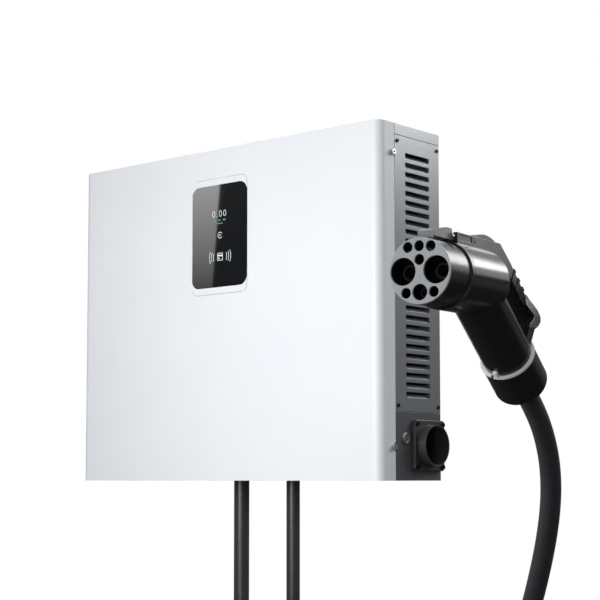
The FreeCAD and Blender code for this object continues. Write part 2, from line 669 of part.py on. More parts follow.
def make_module_case():
    """Folded case with fan openings on the left and a slotted outlet on the right."""
    shell = module_box().cut(module_box(MODULE_T))
    cuts = [cyl(MODULE["x0"] - 1, FAN_Y, z, (1, 0, 0), FAN_BORE_R, 4) for z in FAN_Z]
    for k in range(12):
        z = level(0.067 + 0.075 * k)
        cuts.append(box(MODULE["x1"] - 3, MODULE["x1"] + 1, MODULE["y0"] + 10, MODULE["y1"] - 10,
                        z, z + 0.047 * MODULE_H))
    return shell.cut(Part.makeCompound(cuts))


def make_fan_frames():
    """Three square fan frames with a hub plate on four struts."""
    frames = []
    for z in FAN_Z:
        h = FAN / 2
        frame = box(FAN_X, FAN_X + FAN_T, FAN_Y - h, FAN_Y + h, z - h, z + h)
        frame = frame.cut(cyl(FAN_X - 1, FAN_Y, z, (1, 0, 0), FAN_BORE_R, FAN_T + 2))
        hub = cyl(FAN_X + FAN_T - 3, FAN_Y, z, (1, 0, 0), 17, 3)
        bars = [box(FAN_X + FAN_T - 3, FAN_X + FAN_T, FAN_Y - FAN_BORE_R - 1, FAN_Y + FAN_BORE_R + 1,
                    z - 2, z + 2),
                box(FAN_X + FAN_T - 3, FAN_X + FAN_T, FAN_Y - 2, FAN_Y + 2,
                    z - FAN_BORE_R - 1, z + FAN_BORE_R + 1)]
        pin = cyl(FAN_X + 6, FAN_Y, z, (1, 0, 0), 2.0, FAN_T - 7)
        frames.append(join(frame, hub, *bars, pin))
    return group(*frames)


def make_fan_rotor(z):
    """Hub with seven pitched blades, turning on the frame's pin."""
    hub = cyl(FAN_X + 2, FAN_Y, z, (1, 0, 0), 16, FAN_T - 6)
    blades = []
    for k in range(7):
        blade = box(-8, 8, -1, 1, 14, FAN_BORE_R - 1.5)
        blade.rotate(V(0, 0, 0), V(0, 0, 1), 35)
        blade.rotate(V(0, 0, 0), V(1, 0, 0), 360 / 7 * k)
        blade.translate(V(FAN_X + 11.5, FAN_Y, z))
        blades.append(blade)
    bore = cyl(FAN_X - 1, FAN_Y, z, (1, 0, 0), 2.06, FAN_T + 2)
    return join(hub, *blades).cut(bore)


def make_heat_sink():
    """Extruded heat sink on the back of the module."""
    base_y = MODULE["y1"] - MODULE_T
    parts = [box(-205, 235, base_y - 7, base_y, level(0.067), level(0.94))]
    for k in range(14):
        z = level(0.073 + 0.066 * k)
        parts.append(box(-205, 235, base_y - 30, base_y - 7, z, z + 2.5))
    return join(*parts)


def make_power_board():
    """Power board with its transformers on the face of the heat sink."""
    y0 = MODULE["y1"] - MODULE_T - 32
    board = box(-205, 235, y0, y0 + 2, level(0.05), level(0.95))
    cores = [box(x, x + 52, y0 - 34, y0, level(low), level(low + 0.153))
             for x in (-60, 20, 100) for low in (0.133, 0.4)]
    return join(board, *cores)


def make_capacitors():
    """Row of bulk capacitors on the power board."""
    y0 = MODULE["y1"] - MODULE_T - 32
    return group(*[cyl(-180 + 38 * k, y0, level(share), (0, -1, 0), min(15, 0.05 * MODULE_H), 40)
                   for k in range(6) for share in (0.85, 0.737)])


def make_chokes():
    """Wound chokes on the power board."""
    y0 = MODULE["y1"] - MODULE_T - 32
    chokes = []
    r = min(28, 0.093 * MODULE_H)
    for z in (level(0.183), level(0.4)):
        ring = cyl(-150, y0, z, (0, -1, 0), r, 24)
        chokes.append(ring.cut(cyl(-150, y0 + 1, z, (0, -1, 0), 0.4 * r, 26)))
    return group(*chokes)


def make_module_rails():
    """Hat rails between the module and the back sheet."""
    return group(*[box(-230, 230, MODULE["y1"], CH_IN_Y, z, z + 22) for z in (level(0.133), level(0.8))])


def make_duct(side):
    """Sheet duct between the module and the side window."""
    inner = MODULE["x1"]
    outer = CH_IN_X - 8
    x0, x1 = sorted((side * inner, side * outer))
    m = MODULE
    shell = box(x0, x1, m["y0"], m["y1"], m["z0"], m["z1"])
    return shell.cut(box(x0 - 1, x1 + 1, m["y0"] + 1, m["y1"] - 1, m["z0"] + 1, m["z1"] - 1))


def make_filter():
    """Filter mat in the intake duct."""
    m = MODULE
    return box(-CH_IN_X + 14, -CH_IN_X + 24, m["y0"] + 1, m["y1"] - 1, m["z0"] + 1, m["z1"] - 1)


# Control and switchgear
def make_mounting_plate():
    """Plate in front of the module on six posts."""
    plate = box(-235, 235, PLATE_Y, PLATE_Y + 2, level(0.067), level(0.95))
    posts = [cyl(x, PLATE_Y + 2, z, (0, 1, 0), 4, MODULE["y0"] - PLATE_Y - 2)
             for x in (-220, 0, 220) for z in (level(0.117), level(0.9))]
    return join(plate, *posts)


def make_control_board():
    """Main control board on spacers, with its relays, plugs and processor."""
    y1 = PLATE_Y - 6
    top = y1 - 1.6
    board = box(-220, -30, top, y1, level(0.267), level(0.867))
    posts = [cyl(x, y1, z, (0, 1, 0), 3, PLATE_Y - y1)
             for x in (-214, -36) for z in (level(0.287), level(0.847))]
    relays = [box(-210 + 24 * k, -192 + 24 * k, top - 15.4, top, level(0.3), level(0.393))
              for k in range(5)]
    plugs = [box(-215, -207, top - 10.4, top, level(0.467 + 0.1 * k), level(0.547 + 0.1 * k))
             for k in range(4)]
    chip = box(-140, -112, top - 2.4, top, level(0.567), level(0.66))
    modem = box(-85, -45, top - 3.4, top, level(0.667), level(0.817))
    return join(board, *posts, *relays, *plugs, chip, modem)


def make_aux_supply():
    """Small auxiliary supply in its vented case."""
    case = box(20, 120, PLATE_Y - 36, PLATE_Y, level(0.4), level(0.833))
    slots = [box(30 + 12 * k, 36 + 12 * k, PLATE_Y - 37, PLATE_Y - 32, level(0.467), level(0.767))
             for k in range(7)]
    return case.cut(Part.makeCompound(slots))


def make_din_rail():
    """Top hat rail on two spacers."""
    x0 = ROW_X - 5
    x1 = FUSE_X + FUSE_L + 4
    web = box(x0, x1, RAIL_Y + 6.5, RAIL_Y + 7.5, RAIL_Z - 13.5, RAIL_Z + 13.5)
    lips = []
    for s in (-1, 1):
        z0, z1 = sorted((RAIL_Z + s * 12.5, RAIL_Z + s * 13.5))
        lips.append(box(x0, x1, RAIL_Y, RAIL_Y + 7.5, z0, z1))
        z0, z1 = sorted((RAIL_Z + s * 12.5, RAIL_Z + s * 17.5))
        lips.append(box(x0, x1, RAIL_Y, RAIL_Y + 1, z0, z1))
    feet = [cyl(x, RAIL_Y + 7.5, RAIL_Z, (0, 1, 0), 7, CH_IN_Y - RAIL_Y - 7.5)
            for x in (x0 + 40, x1 - 36)]
    return join(web, *lips, *feet)


def gear(x0, x1, depth, step=10.0, nose=28.0):
    """Rail-mounted device with the usual stepped front."""
    body = box(x0, x1, RAIL_Y - depth, RAIL_Y, RAIL_Z - GEAR_HALF, RAIL_Z + GEAR_HALF)
    front = box(x0, x1, RAIL_Y - depth - step, RAIL_Y - depth, RAIL_Z - nose, RAIL_Z + nose)
    return join(body, front)


def screw_wells(xs, depth, r=4.0):
    """Terminal wells in the lower and upper shoulders of a device."""
    return [cyl(x, RAIL_Y - depth - 1, RAIL_Z + s * 37, (0, 1, 0), r, 9) for x in xs for s in (-1, 1)]


def make_breaker():
    """Incoming breaker, four poles, with the well its lever turns in."""
    x0, x1 = BREAKER_X
    body = gear(x0, x1, 55)
    wells = screw_wells([x0 + POLE * (k + 0.5) for k in range(4)], 55)
    xm = (x0 + x1) / 2
    well = cyl(xm - 10, LEVER_AXIS[0], LEVER_AXIS[1], (1, 0, 0), 8.4, 20)
    mouth = box(xm - 10, xm + 10, LEVER_AXIS[0] - 12, LEVER_AXIS[0], RAIL_Z - 8.4, RAIL_Z + 8.4)
    return body.cut(Part.makeCompound(wells + [well, mouth]))


def make_breaker_lever():
    """Rocking lever of the breaker."""
    xm = sum(BREAKER_X) / 2
    drum = cyl(xm - 9, LEVER_AXIS[0], LEVER_AXIS[1], (1, 0, 0), 8.0, 18)
    arm = box(xm - 9, xm + 9, LEVER_AXIS[0] - 19, LEVER_AXIS[0], RAIL_Z - 3, RAIL_Z + 3)
    arm.rotate(V(xm, LEVER_AXIS[0], RAIL_Z), V(1, 0, 0), -25)
    return join(drum, arm)


def make_surge():
    """Surge arrester with four plug-in cartridges."""
    x0 = ROW_NEXT
    body = gear(x0, x0 + 72, 48, 8)
    wells = screw_wells([x0 + 9 + 18 * k for k in range(4)], 48)
    gaps = [box(x0 + 17.5 + 18 * k, x0 + 18.5 + 18 * k, RAIL_Y - 57, RAIL_Y - 46,
                RAIL_Z - 28, RAIL_Z + 28) for k in range(3)]
    return body.cut(Part.makeCompound(wells + gaps))


def make_ac_contactor():
    """AC contactor."""
    x0 = ROW_NEXT + 80
    wells = screw_wells([x0 + 12, x0 + 30, x0 + 48], 60)
    return gear(x0, x0 + 60, 60, 14).cut(Part.makeCompound(wells))


def make_meter():
    """DC energy meter with a screen recess."""
    x0 = ROW_NEXT + 148
    body = gear(x0, x0 + 72, 50, 8)
    recess = box(x0 + 10, x0 + 62, RAIL_Y - 59, RAIL_Y - 56.5, RAIL_Z - 6, RAIL_Z + 16)
    wells = screw_wells([x0 + 10, x0 + 36, x0 + 62], 50)
    return body.cut(Part.makeCompound(wells + [recess]))


def make_dc_contactor(x0, x1):
    """DC contactor: sealed block with two studs on its upper shoulder."""
    body = rounded(x0, x1, RAIL_Y - 55, RAIL_Y, RAIL_Z - 40, RAIL_Z + 30, (0, 1, 0), 6)
    studs = [cyl(x, RAIL_Y - 40, RAIL_Z + 30, (0, 0, 1), 4, 16) for x in (x0 + 16, x1 - 16)]
    foot = box(x0 - 4, x1 + 4, RAIL_Y - 3, RAIL_Y, RAIL_Z - 46, RAIL_Z + 34)
    return join(body, foot, *studs)


def make_fuse():
    """DC fuse in its holder."""
    x0 = FUSE_X
    base = box(x0, x0 + FUSE_L, RAIL_Y - 14, RAIL_Y, RAIL_Z - 24, RAIL_Z + 24)
    clips = [box(x, x + 12, RAIL_Y - 34, RAIL_Y - 14, RAIL_Z - 16, RAIL_Z + 16)
             for x in (x0 + 6, x0 + 64)]
    barrel = cyl(x0 + 4, RAIL_Y - 34, RAIL_Z, (1, 0, 0), 15, 74)
    return join(base, *clips, barrel)


def make_supply_terminals():
    """Five feed-through terminals on a short rail at the bottom left."""
    blocks = []
    for k in range(5):
        x = TERMINAL_X + TERMINAL_PITCH * k
        block = box(x, x + TERMINAL_W, -70, -20, TERMINAL_TOP - 46, TERMINAL_TOP)
        wells = [cyl(x + TERMINAL_W / 2, -71, z, (0, 1, 0), 4, 10)
                 for z in (TERMINAL_TOP - 38, TERMINAL_TOP - 8)]
        blocks.append(block.cut(Part.makeCompound(wells)))
    base = box(TERMINAL_X - 4, TERMINAL_X + 86, -20, CH_IN_Y, TERMINAL_TOP - 40, TERMINAL_TOP - 6)
    return join(base, *blocks)


def make_earth_bar():
    """Copper earth bar on two posts with its screws."""
    x0 = TERMINAL_X + 105
    z = TERMINAL_TOP
    bar = box(x0, x0 + 120, -42, -38, z - 6, z + 6)
    posts = [cyl(x, -38, z, (0, 1, 0), 5, CH_IN_Y + 38) for x in (x0 + 10, x0 + 110)]
    screws = [hexagon(x0 + 25 + 18 * k, -42, z, (0, -1, 0), 8, 4) for k in range(5)]
    return join(bar, *posts, *screws)


def make_ac_bars():
    """Three copper bars from the breaker up to the module's underside."""
    bars = []
    for k in range(3):
        x = BREAKER_X[0] + POLE * (k + 0.5) - 5
        reach = MODULE["x0"] + 22 + 30 * k
        y = RAIL_Y - 24 - 9 * k
        z = RAIL_Z + GEAR_HALF
        up = box(x, x + 10, y, y + 3, z, z + 12 + 8 * k)
        along = box(x, reach + 10, y, y + 3, z + 12 + 8 * k, z + 20 + 8 * k)
        rise = box(reach, reach + 10, y, y + 3, z + 12 + 8 * k, MODULE["z0"])
        bars.append(join(up, along, rise))
    return group(*bars)


def make_dc_bars():
    """Two copper bars from the module down to the DC contactors."""
    bars = []
    for x0, x1 in DC_CONTACTORS_X:
        x = x0 + 8
        bars.append(box(x, x + 16, RAIL_Y - 42, RAIL_Y - 38, RAIL_Z + 46, MODULE["z0"]))
    return group(*bars)


# Wall side
def make_wall_plate():
    """Folded plate on the wall, with a lip along its top for the cabinet to hang on."""
    w = PLATE_HALF_W
    h = PLATE_HALF_H
    plate = box(-w, w, -WALL_T, 0, -h, h)
    window = rounded(70 - w, w - 70, -WALL_T - 1, 1, 70 - h, h - 80, (0, 1, 0), 20)
    holes = [cyl(x, -WALL_T - 1, z, (0, 1, 0), BOLT_R, WALL_T + 2)
             for x in (-BOLT_X, BOLT_X) for z in (-BOLT_Z, BOLT_Z)]
    shelf = box(10 - w, w - 10, -8.5, -WALL_T, h - 5, h - 2.5)
    lip = box(10 - w, w - 10, -8.5, -6, h - 5, HOOK_TOP)
    return join(plate.cut(Part.makeCompound([window] + holes)), shelf, lip)


def make_hanger():
    """Hooked rail on the cabinet's back, over the lip of the wall plate."""
    w = PLATE_HALF_W - 20
    web = box(-w, w, BACK, BACK + 2, HOOK_TOP - 28, HOOK_TOP + 18)
    top = box(-w, w, BACK, -3.2, HOOK_TOP, HOOK_TOP + 2.2)
    lip = box(-w, w, -5.4, -3.2, HOOK_TOP - 14, HOOK_TOP + 2.2)
    return join(web, top, lip)


def make_feet():
    """Rubber spacers that keep the lower edge off the wall."""
    z = -PLATE_HALF_H - 50
    return group(*[cyl(x, BACK, z, (0, 1, 0), 14, WALL_GAP) for x in (20 - PLATE_HALF_W, PLATE_HALF_W - 20)])


# Connector, in its own frame: face at y = 0, y to the rear, z up
GRIP_AXIS = V(0, cos(radians(GRIP_DROP)), -sin(radians(GRIP_DROP)))
GRIP_UP = V(0, sin(radians(GRIP_DROP)), cos(radians(GRIP_DROP)))
SMALL_HOLES = ((-12.2, 23.2), (0.0, 24.0), (12.2, 23.2), (0.0, 10.8), (-14.7, -21.0), (14.7, -21.0))
BIG_HOLES = ((-17.6, 0.0), (17.6, 0.0))
EARTH_HOLE = (0.0, -20.7)
TO_CABINET = FreeCAD.Placement(
    CONNECTOR_AT, FreeCAD.Rotation(V(0, 0, 1), CONNECTOR_YAW).multiply(
        FreeCAD.Rotation(V(1, 0, 0), CONNECTOR_PITCH)))


def grip_point(s, up=0.0, x=0.0):
    """Point at a distance along the handle axis, raised from it by up."""
    return V(x, GRIP_ORIGIN_Y, 0) + GRIP_AXIS * s + GRIP_UP * up


def grip_cyl(s0, s1, r):
    """Cylinder about the handle axis."""
    return Part.makeCylinder(r, s1 - s0, grip_point(s0), GRIP_AXIS)


def place(shape):
    """Move a connector piece to where it is held."""
    return shape.transformed(TO_CABINET.toMatrix())


def nose_holes(y0, y1, big, small, earth):
    """Cylinders for the nine contact holes."""
    cuts = [cyl(x, y0, z, (0, 1, 0), big, y1 - y0) for x, z in BIG_HOLES]
    cuts += [cyl(x, y0, z, (0, 1, 0), small, y1 - y0) for x, z in SMALL_HOLES]
    cuts.append(cyl(EARTH_HOLE[0], y0, EARTH_HOLE[1], (0, 1, 0), earth, y1 - y0))
    return cuts


def make_face():
    """Front disc with its nine holes."""
    disc = cyl(0, 0, 0, (0, 1, 0), NOSE_R, FACE_T)
    disc = disc.makeChamfer(0.5, [e for e in disc.Edges if abs(e.BoundBox.YMax) < 1e-3])
    return disc.cut(Part.makeCompound(nose_holes(-1, FACE_T + 1, BIG_HOLE_R, SMALL_HOLE_R,
                                                 EARTH_HOLE_R)))


def make_nose():
    """Nose moulding with deep contact wells, a rear ring and two key slits near the top."""
    nose = cyl(0, FACE_T, 0, (0, 1, 0), NOSE_R, NOSE_L - FACE_T)
    ring = cyl(0, NOSE_L - 6, 0, (0, 1, 0), BARREL_R, 6)
    spigot = cyl(0, NOSE_L, 0, (0, 1, 0), BARREL_R - BODY_WALL - SLIP, 7)
    cuts = nose_holes(0, 44, BIG_HOLE_R, SMALL_HOLE_R, EARTH_HOLE_R)
    cuts += nose_holes(40, 70, 8.0, 3.0, 5.0)
    band = cyl(0, 26, 0, (0, 1, 0), NOSE_R + 2, 5).cut(cyl(0, 25, 0, (0, 1, 0), NOSE_R - 2.2, 7))
    for side in (-1, 1):
        fan = [(0, 0), (side * 60 * sin(radians(20)), 60 * cos(radians(20))),
               (side * 60 * sin(radians(46)), 60 * cos(radians(46)))]
        cuts.append(band.common(prism(fan, "xz", 25, 32)))
    return join(nose, ring, spigot).cut(Part.makeCompound(cuts))


def socket(x, z, r_out, r_in, y0, y1):
    """Contact sleeve with a closed rear end."""
    return cyl(x, y0, z, (0, 1, 0), r_out, y1 - y0).cut(cyl(x, y0 - 1, z, (0, 1, 0), r_in, y1 - y0 - 8))


def make_power_contacts():
    """Positive and negative contact sleeves."""
    return group(*[socket(x, z, 8.0, 6.0, 16, 74) for x, z in BIG_HOLES])


def make_earth_contact():
    """Earth contact sleeve."""
    return socket(EARTH_HOLE[0], EARTH_HOLE[1], 5.0, 3.5, 12, 74)


def make_signal_contacts():
    """Six signal and auxiliary contact sleeves."""
    return group(*[socket(x, z, 3.0, 1.6, 16, 70) for x, z in SMALL_HOLES])


def arm_point(along, depth=0.0):
    """Point on the rear arm's outer line, or below it by a depth, as (y, z)."""
    c = cos(radians(ARM_DROP))
    s = sin(radians(ARM_DROP))
    return ARM_FROM[0] + along * c - depth * s, ARM_FROM[1] - along * s - depth * c


def handle_point(s, up):
    """Point beside the handle axis, as (y, z)."""
    p = grip_point(s, up)
    return p.y, p.z


def arm_outline():
    """Side outline of the top housing and the rear arm down to its bend."""
    return [(62, 14), (62, HOUSING_TOP), (174, HOUSING_TOP), ARM_FROM, arm_point(ARM_L),
            arm_point(ARM_L, ARM_THICK), (187, 12.7), (172, 22), (146, 22), (130, 14)]


def make_arm_foot():
    """Bend of the rear arm and its foot, which widens to a saddle on the handle."""
    outline = [arm_point(ARM_L - 18), arm_point(ARM_L), (260, -21), (262, -28), (258, -34),
               (247, -39.5), handle_point(GRIP_L, 36), handle_point(GRIP_L, 12),
               handle_point(GRIP_L - FOOT_T, 12), handle_point(GRIP_L - FOOT_T, 33), (238, -33),
               arm_point(ARM_L, ARM_THICK), arm_point(ARM_L - 18, ARM_THICK)]
    side_view = prism(outline, "yz", -FOOT_HALF, FOOT_HALF)
    bend_z = arm_point(ARM_L)[1]
    right = [(HOUSING_HALF, 10), (HOUSING_HALF, bend_z + 10), (FOOT_HALF - 4, bend_z - 12),
             (FOOT_HALF, bend_z - 26), (FOOT_HALF, -90)]
    left = [(-x, z) for x, z in reversed(right)]
    return side_view.common(prism(right + left, "xz", 150, 320))


def make_connector_body():
    """Whole connector body before it is split down the middle."""
    prism_out = prism(arm_outline(), "yz", -HOUSING_HALF, HOUSING_HALF)
    long_edges = [e for e in prism_out.Edges
                  if len(e.Vertexes) == 2 and abs(abs(e.CenterOfMass.x) - HOUSING_HALF) < 1e-3
                  and e.CenterOfMass.y > 176 and e.Length > 60]
    prism_out = prism_out.makeFillet(3.0, long_edges)
    barrel = cyl(0, NOSE_L, 0, (0, 1, 0), BARREL_R, BARREL_END - NOSE_L)
    barrel = barrel.makeFillet(4.0, [e for e in barrel.Edges
                                     if abs(e.BoundBox.YMin - BARREL_END) < 1e-3])
    grip = grip_cyl(0, GRIP_L, GRIP_R)
    spigot = grip_cyl(GRIP_L - 1, GRIP_L + 18, SPIGOT_R)
    ribs = []
    for k in range(5):
        along = 12 + 14.0 * k
        rib = box(-HOUSING_HALF - 1.2, HOUSING_HALF + 1.2, along, along + 3.2, -19, 1.2)
        rib = fillet_along(rib, (0, 1, 0), 3.0)
        rib.rotate(V(0, 0, 0), V(1, 0, 0), -ARM_DROP)
        rib.translate(V(0, *ARM_FROM))
        ribs.append(rib)
    return join(barrel, prism_out, grip, spigot, make_arm_foot(), *ribs)


def make_connector_hollow():
    """Space inside the body for the contacts, latch and leads."""
    room = cyl(0, NOSE_L - 1, 0, (0, 1, 0), BARREL_R - BODY_WALL, BARREL_END - NOSE_L - BODY_WALL + 1)
    grip_room = grip_cyl(0, GRIP_L + 20, GRIP_R - BODY_WALL - 3)
    half = HOUSING_HALF - BODY_WALL
    latch_room = box(-half, half, 61, 172, 26, HOUSING_TOP - 2.5)
    front = box(-LATCH_HALF - 1, LATCH_HALF + 1, 55, 96, 34.6, HOUSING_TOP + 6)
    opening = box(-9, 9, 112.4, 165.6, 38, HOUSING_TOP + 1)
    arm = [(176, 24), (176, 36), arm_point(-2, 4), arm_point(ARM_L - 6, 4),
           arm_point(ARM_L - 6, ARM_THICK - 4), (190, 17)]
    arm_room = prism(arm, "yz", -half, half)
    pin = cyl(-HOUSING_HALF - 1, LATCH_PIVOT[0], LATCH_PIVOT[1], (1, 0, 0), PIN_R, 2 * HOUSING_HALF + 2)
    panels = []
    for side in (-1, 1):
        x0, x1 = sorted((side * (HOUSING_HALF - 0.8), side * (HOUSING_HALF + 1)))
        panels.append(box(x0, x1, 67, 98, 36.0, 41.5))
    tools = [room, grip_room, latch_room, front, opening, arm_room, pin] + panels
    return tools


def make_body_halves():
    """Left and right halves, split on the middle plane."""
    body = make_connector_body().cut(make_connector_hollow())
    left = body.common(box(-60, 0, 0, 400, -200, 100))
    right = body.common(box(0, 60, 0, 400, -200, 100))
    return left, right


def make_latch():
    """Hooked lever over the nose, turning on its pin."""
    outline = [(12, 33.1), (12, 40), (17, 42.5), (50, 47.4), (60.5, 47.4), (63.5, 40.2), (152, 40.2),
               (152, 36), (110, 36), (104, 34.2), (98, 35.6), (17.5, 35.6), (17.5, 33.1)]
    lever = prism(outline, "yz", -LATCH_HALF, LATCH_HALF)
    hole = cyl(-LATCH_HALF - 1, LATCH_PIVOT[0], LATCH_PIVOT[1], (1, 0, 0), PIN_R + 0.05,
               2 * LATCH_HALF + 2)
    return lever.cut(hole)


def make_button():
    """Domed release button with a foot on the lever's tail."""
    a, top, b = V(-8.6, 113, 45.3), V(-8.6, 139, 49.6), V(-8.6, 165, 45.3)
    floor = [V(-8.6, 165, 42.9), V(-8.6, 113, 42.9)]
    wire = Part.Wire([Part.Arc(a, top, b).toShape(), Part.makeLine(b, floor[0]),
                      Part.makeLine(floor[0], floor[1]), Part.makeLine(floor[1], a)])
    dome = Part.Face(wire).extrude(V(17.2, 0, 0))
    foot = box(-4, 4, 141, 147, 40.7, 43)
    return join(dome, foot)


def make_latch_springs():
    """Torsion springs on the pin, one each side of the lever, a leg of each on the seat."""
    y, z = LATCH_PIVOT
    springs = []
    for side in (-1, 1):
        x0 = side * (LATCH_HALF + 0.3)
        turns = cyl(x0, y, z, (side, 0, 0), 3.2, 1.9).cut(cyl(x0, y, z, (side, 0, 0), 2.4, 1.9))
        leg = prism([(y - 3.1, z), (y - 2.3, z - 2.3), (y - 10, SEAT_TOP + 0.3), (y - 10.4, SEAT_TOP + 1.3)],
                    "yz", x0, x0 + side * 1.2)
        springs.append(join(turns, leg))
    return springs


def make_spring_seat():
    """Block in the barrel's crown that the spring legs press on."""
    return box(-9, 9, 92, 106, 25, SEAT_TOP)


def make_lock_actuator():
    """Small electric lock under the latch, its bolt drawn back."""
    case = box(-9, 9, 74.5, 91, 12, 29.8)
    bolt = cyl(0, 83, 29.8, (0, 0, 1), 2.5, 3.2)
    return join(case, bolt)


def make_handle_ring():
    """Sealing ring between handle and collar, with its index tab."""
    ring = grip_cyl(GRIP_L, GRIP_L + 2.6, COLLAR_R + 0.6).cut(
        grip_cyl(GRIP_L - 1, GRIP_L + 4, SPIGOT_R + 0.2))
    tab = box(GRIP_R + 0.05, GRIP_R + 3.5, -2.5, 2.5, -7.5, 1)
    slot = box(SPIGOT_R + 1, COLLAR_R + 2, 4, 8, -1, 4)
    on_handle = FreeCAD.Placement(grip_point(GRIP_L), FreeCAD.Rotation(V(0, 0, 1), GRIP_AXIS))
    for piece in (tab, slot):
        piece.rotate(V(0, 0, 0), V(0, 0, 1), -TAB_TURN)
        piece.Placement = on_handle.multiply(piece.Placement)
    return join(ring.cut(slot), tab)


def make_collar():
    """Screwed collar with a rounded lower edge, bored for the handle's spigot."""
    s0 = GRIP_L + 2.6
    s1 = GRIP_L + COLLAR_L
    body = grip_cyl(s0, s1, COLLAR_R)
    end = grip_point(s1)
    body = body.makeFillet(9.0, [e for e in body.Edges if (e.CenterOfMass - end).Length < 1e-3])
    bore = grip_cyl(s0 - 1, GRIP_L + 20, SPIGOT_R + 0.2)
    room = grip_cyl(GRIP_L + 19, s1 - 6, 20.0)
    way = grip_cyl(s1 - 8, s1 + 1, CHARGE_D / 2 + 2.4)
    return body.cut(bore).cut(room).cut(way)


def make_boot():
    """Tapered cable boot, its foot clamped in the collar."""
    s0 = GRIP_L + 21
    bead = grip_cyl(s0, s0 + 6, 19.6)
    r0 = CHARGE_D / 2 + 4.0
    r1 = CHARGE_D / 2 + 1.0
    cone = Part.makeCone(r0, r1, BOOT_END - s0, grip_point(s0), GRIP_AXIS)
    return join(bead, cone).cut(grip_cyl(s0 - 1, BOOT_END + 1, CHARGE_D / 2))


def make_lead_stub():
    """Sheathed cable end inside the boot and handle."""
    return grip_cyl(STUB_START, BOOT_END, CHARGE_D / 2)


def make_connector_leads():
    """Power and earth leads from the contacts into the handle."""
    leads = []
    for x, z in BIG_HOLES:
        side = 5.5 if x > 0 else -5.5
        leads.append(cable([V(x, CONTACT_END, z), V(x, 96, z), grip_point(48, 2.0, side),
                            grip_point(STUB_START, 2.0, side)], 9.0)[0])
    x, z = EARTH_HOLE
    leads.append(cable([V(x, CONTACT_END, z), V(x, 92, z), grip_point(56, -5.2),
                        grip_point(STUB_START, -5.2)], 6.0)[0])
    return leads


# Free cables
CHARGE_ROUTE_DROP = [V(CHARGE_X, CABLE_Y, GLAND_MOUTH_Z), V(CHARGE_X, CABLE_Y, COIL_TOP_Z)]
COIL_ALONG = V(cos(radians(COIL_HEADING)), sin(radians(COIL_HEADING)), 0)
COIL_ACROSS = V(sin(radians(COIL_HEADING)), -cos(radians(COIL_HEADING)), 0)
COIL_CENTRE = V(CHARGE_X, CABLE_Y, COIL_TOP_Z) + COIL_ALONG * COIL_RING_R
COIL_END = COIL_CENTRE + COIL_ACROSS * (COIL_TURNS * COIL_PITCH) + V(0, 0, -COIL_RING_R)


def charge_route_rise():
    """From the coil's lowest turn up to the boot of the connector."""
    boot = TO_CABINET.multVec(grip_point(BOOT_END))
    straight_out = TO_CABINET.multVec(grip_point(BOOT_END + 34))
    free = [V(260, -325, -770), V(400, -392, -790), V(535, -450, -775), V(655, -500, -730),
            V(755, -537, -660), V(832, -562, -580), V(890, -588, -497), V(926, -608, -425),
            V(950, -623, -368), V(965, -636, -321), V(973.5, -651, -281), V(978.5, -671, -247.5)]
    return [COIL_END] + free + [straight_out, boot]


SUPPLY_ROUTE = [V(SUPPLY_X, CABLE_Y, GLAND_MOUTH_Z), V(SUPPLY_X, CABLE_Y, SUPPLY_END_Z)]


def make_coil():
    """Outer shape of the tied turns."""
    start = COIL_CENTRE - COIL_ACROSS * (CHARGE_D / 2)
    length = COIL_TURNS * COIL_PITCH + CHARGE_D
    ring = Part.makeCylinder(COIL_RING_R + CHARGE_D / 2, length, start, COIL_ACROSS)
    ring = ring.cut(Part.makeCylinder(COIL_RING_R - CHARGE_D / 2, length, start, COIL_ACROSS))
    rims = [e for e in ring.Edges if e.Curve.TypeId == "Part::GeomCircle"]
    return ring.makeFillet(8.0, rims)


def make_ties(coil):
    """Two straps round all the turns."""
    ties = []
    length = COIL_TURNS * COIL_PITCH + CHARGE_D
    for angle in (40, 140):
        out = COIL_ALONG * cos(radians(angle)) + V(0, 0, sin(radians(angle)))
        strap = box(-8, 8, -2, length + 2, COIL_RING_R - CHARGE_D / 2 - 2, COIL_RING_R + CHARGE_D / 2 + 2)
        across = COIL_ACROSS
        side = across.cross(out)
        turn = FreeCAD.Rotation(side, across, out, "ZYX")
        strap.Placement = FreeCAD.Placement(COIL_CENTRE - across * (CHARGE_D / 2), turn)
        ties.append(strap.cut(coil))
    return ties


def make_supply_cores():
    """Five stripped cores with their sleeves, bound together at the sheath."""
    end = SUPPLY_ROUTE[-1]
    cores = []
    for k in range(5):
        a = radians(72 * k)
        lean = V(cos(a) * 0.16, sin(a) * 0.16, -1).normalize()
        base = end + V(8.8 * cos(a), 8.8 * sin(a), -0.9)
        core = Part.makeCylinder(4.4, 44, base, lean)
        sleeve = Part.makeCylinder(2.6, 16, base + lean * 44, lean)
        cores.append(join(core, sleeve))
    return group(*cores)


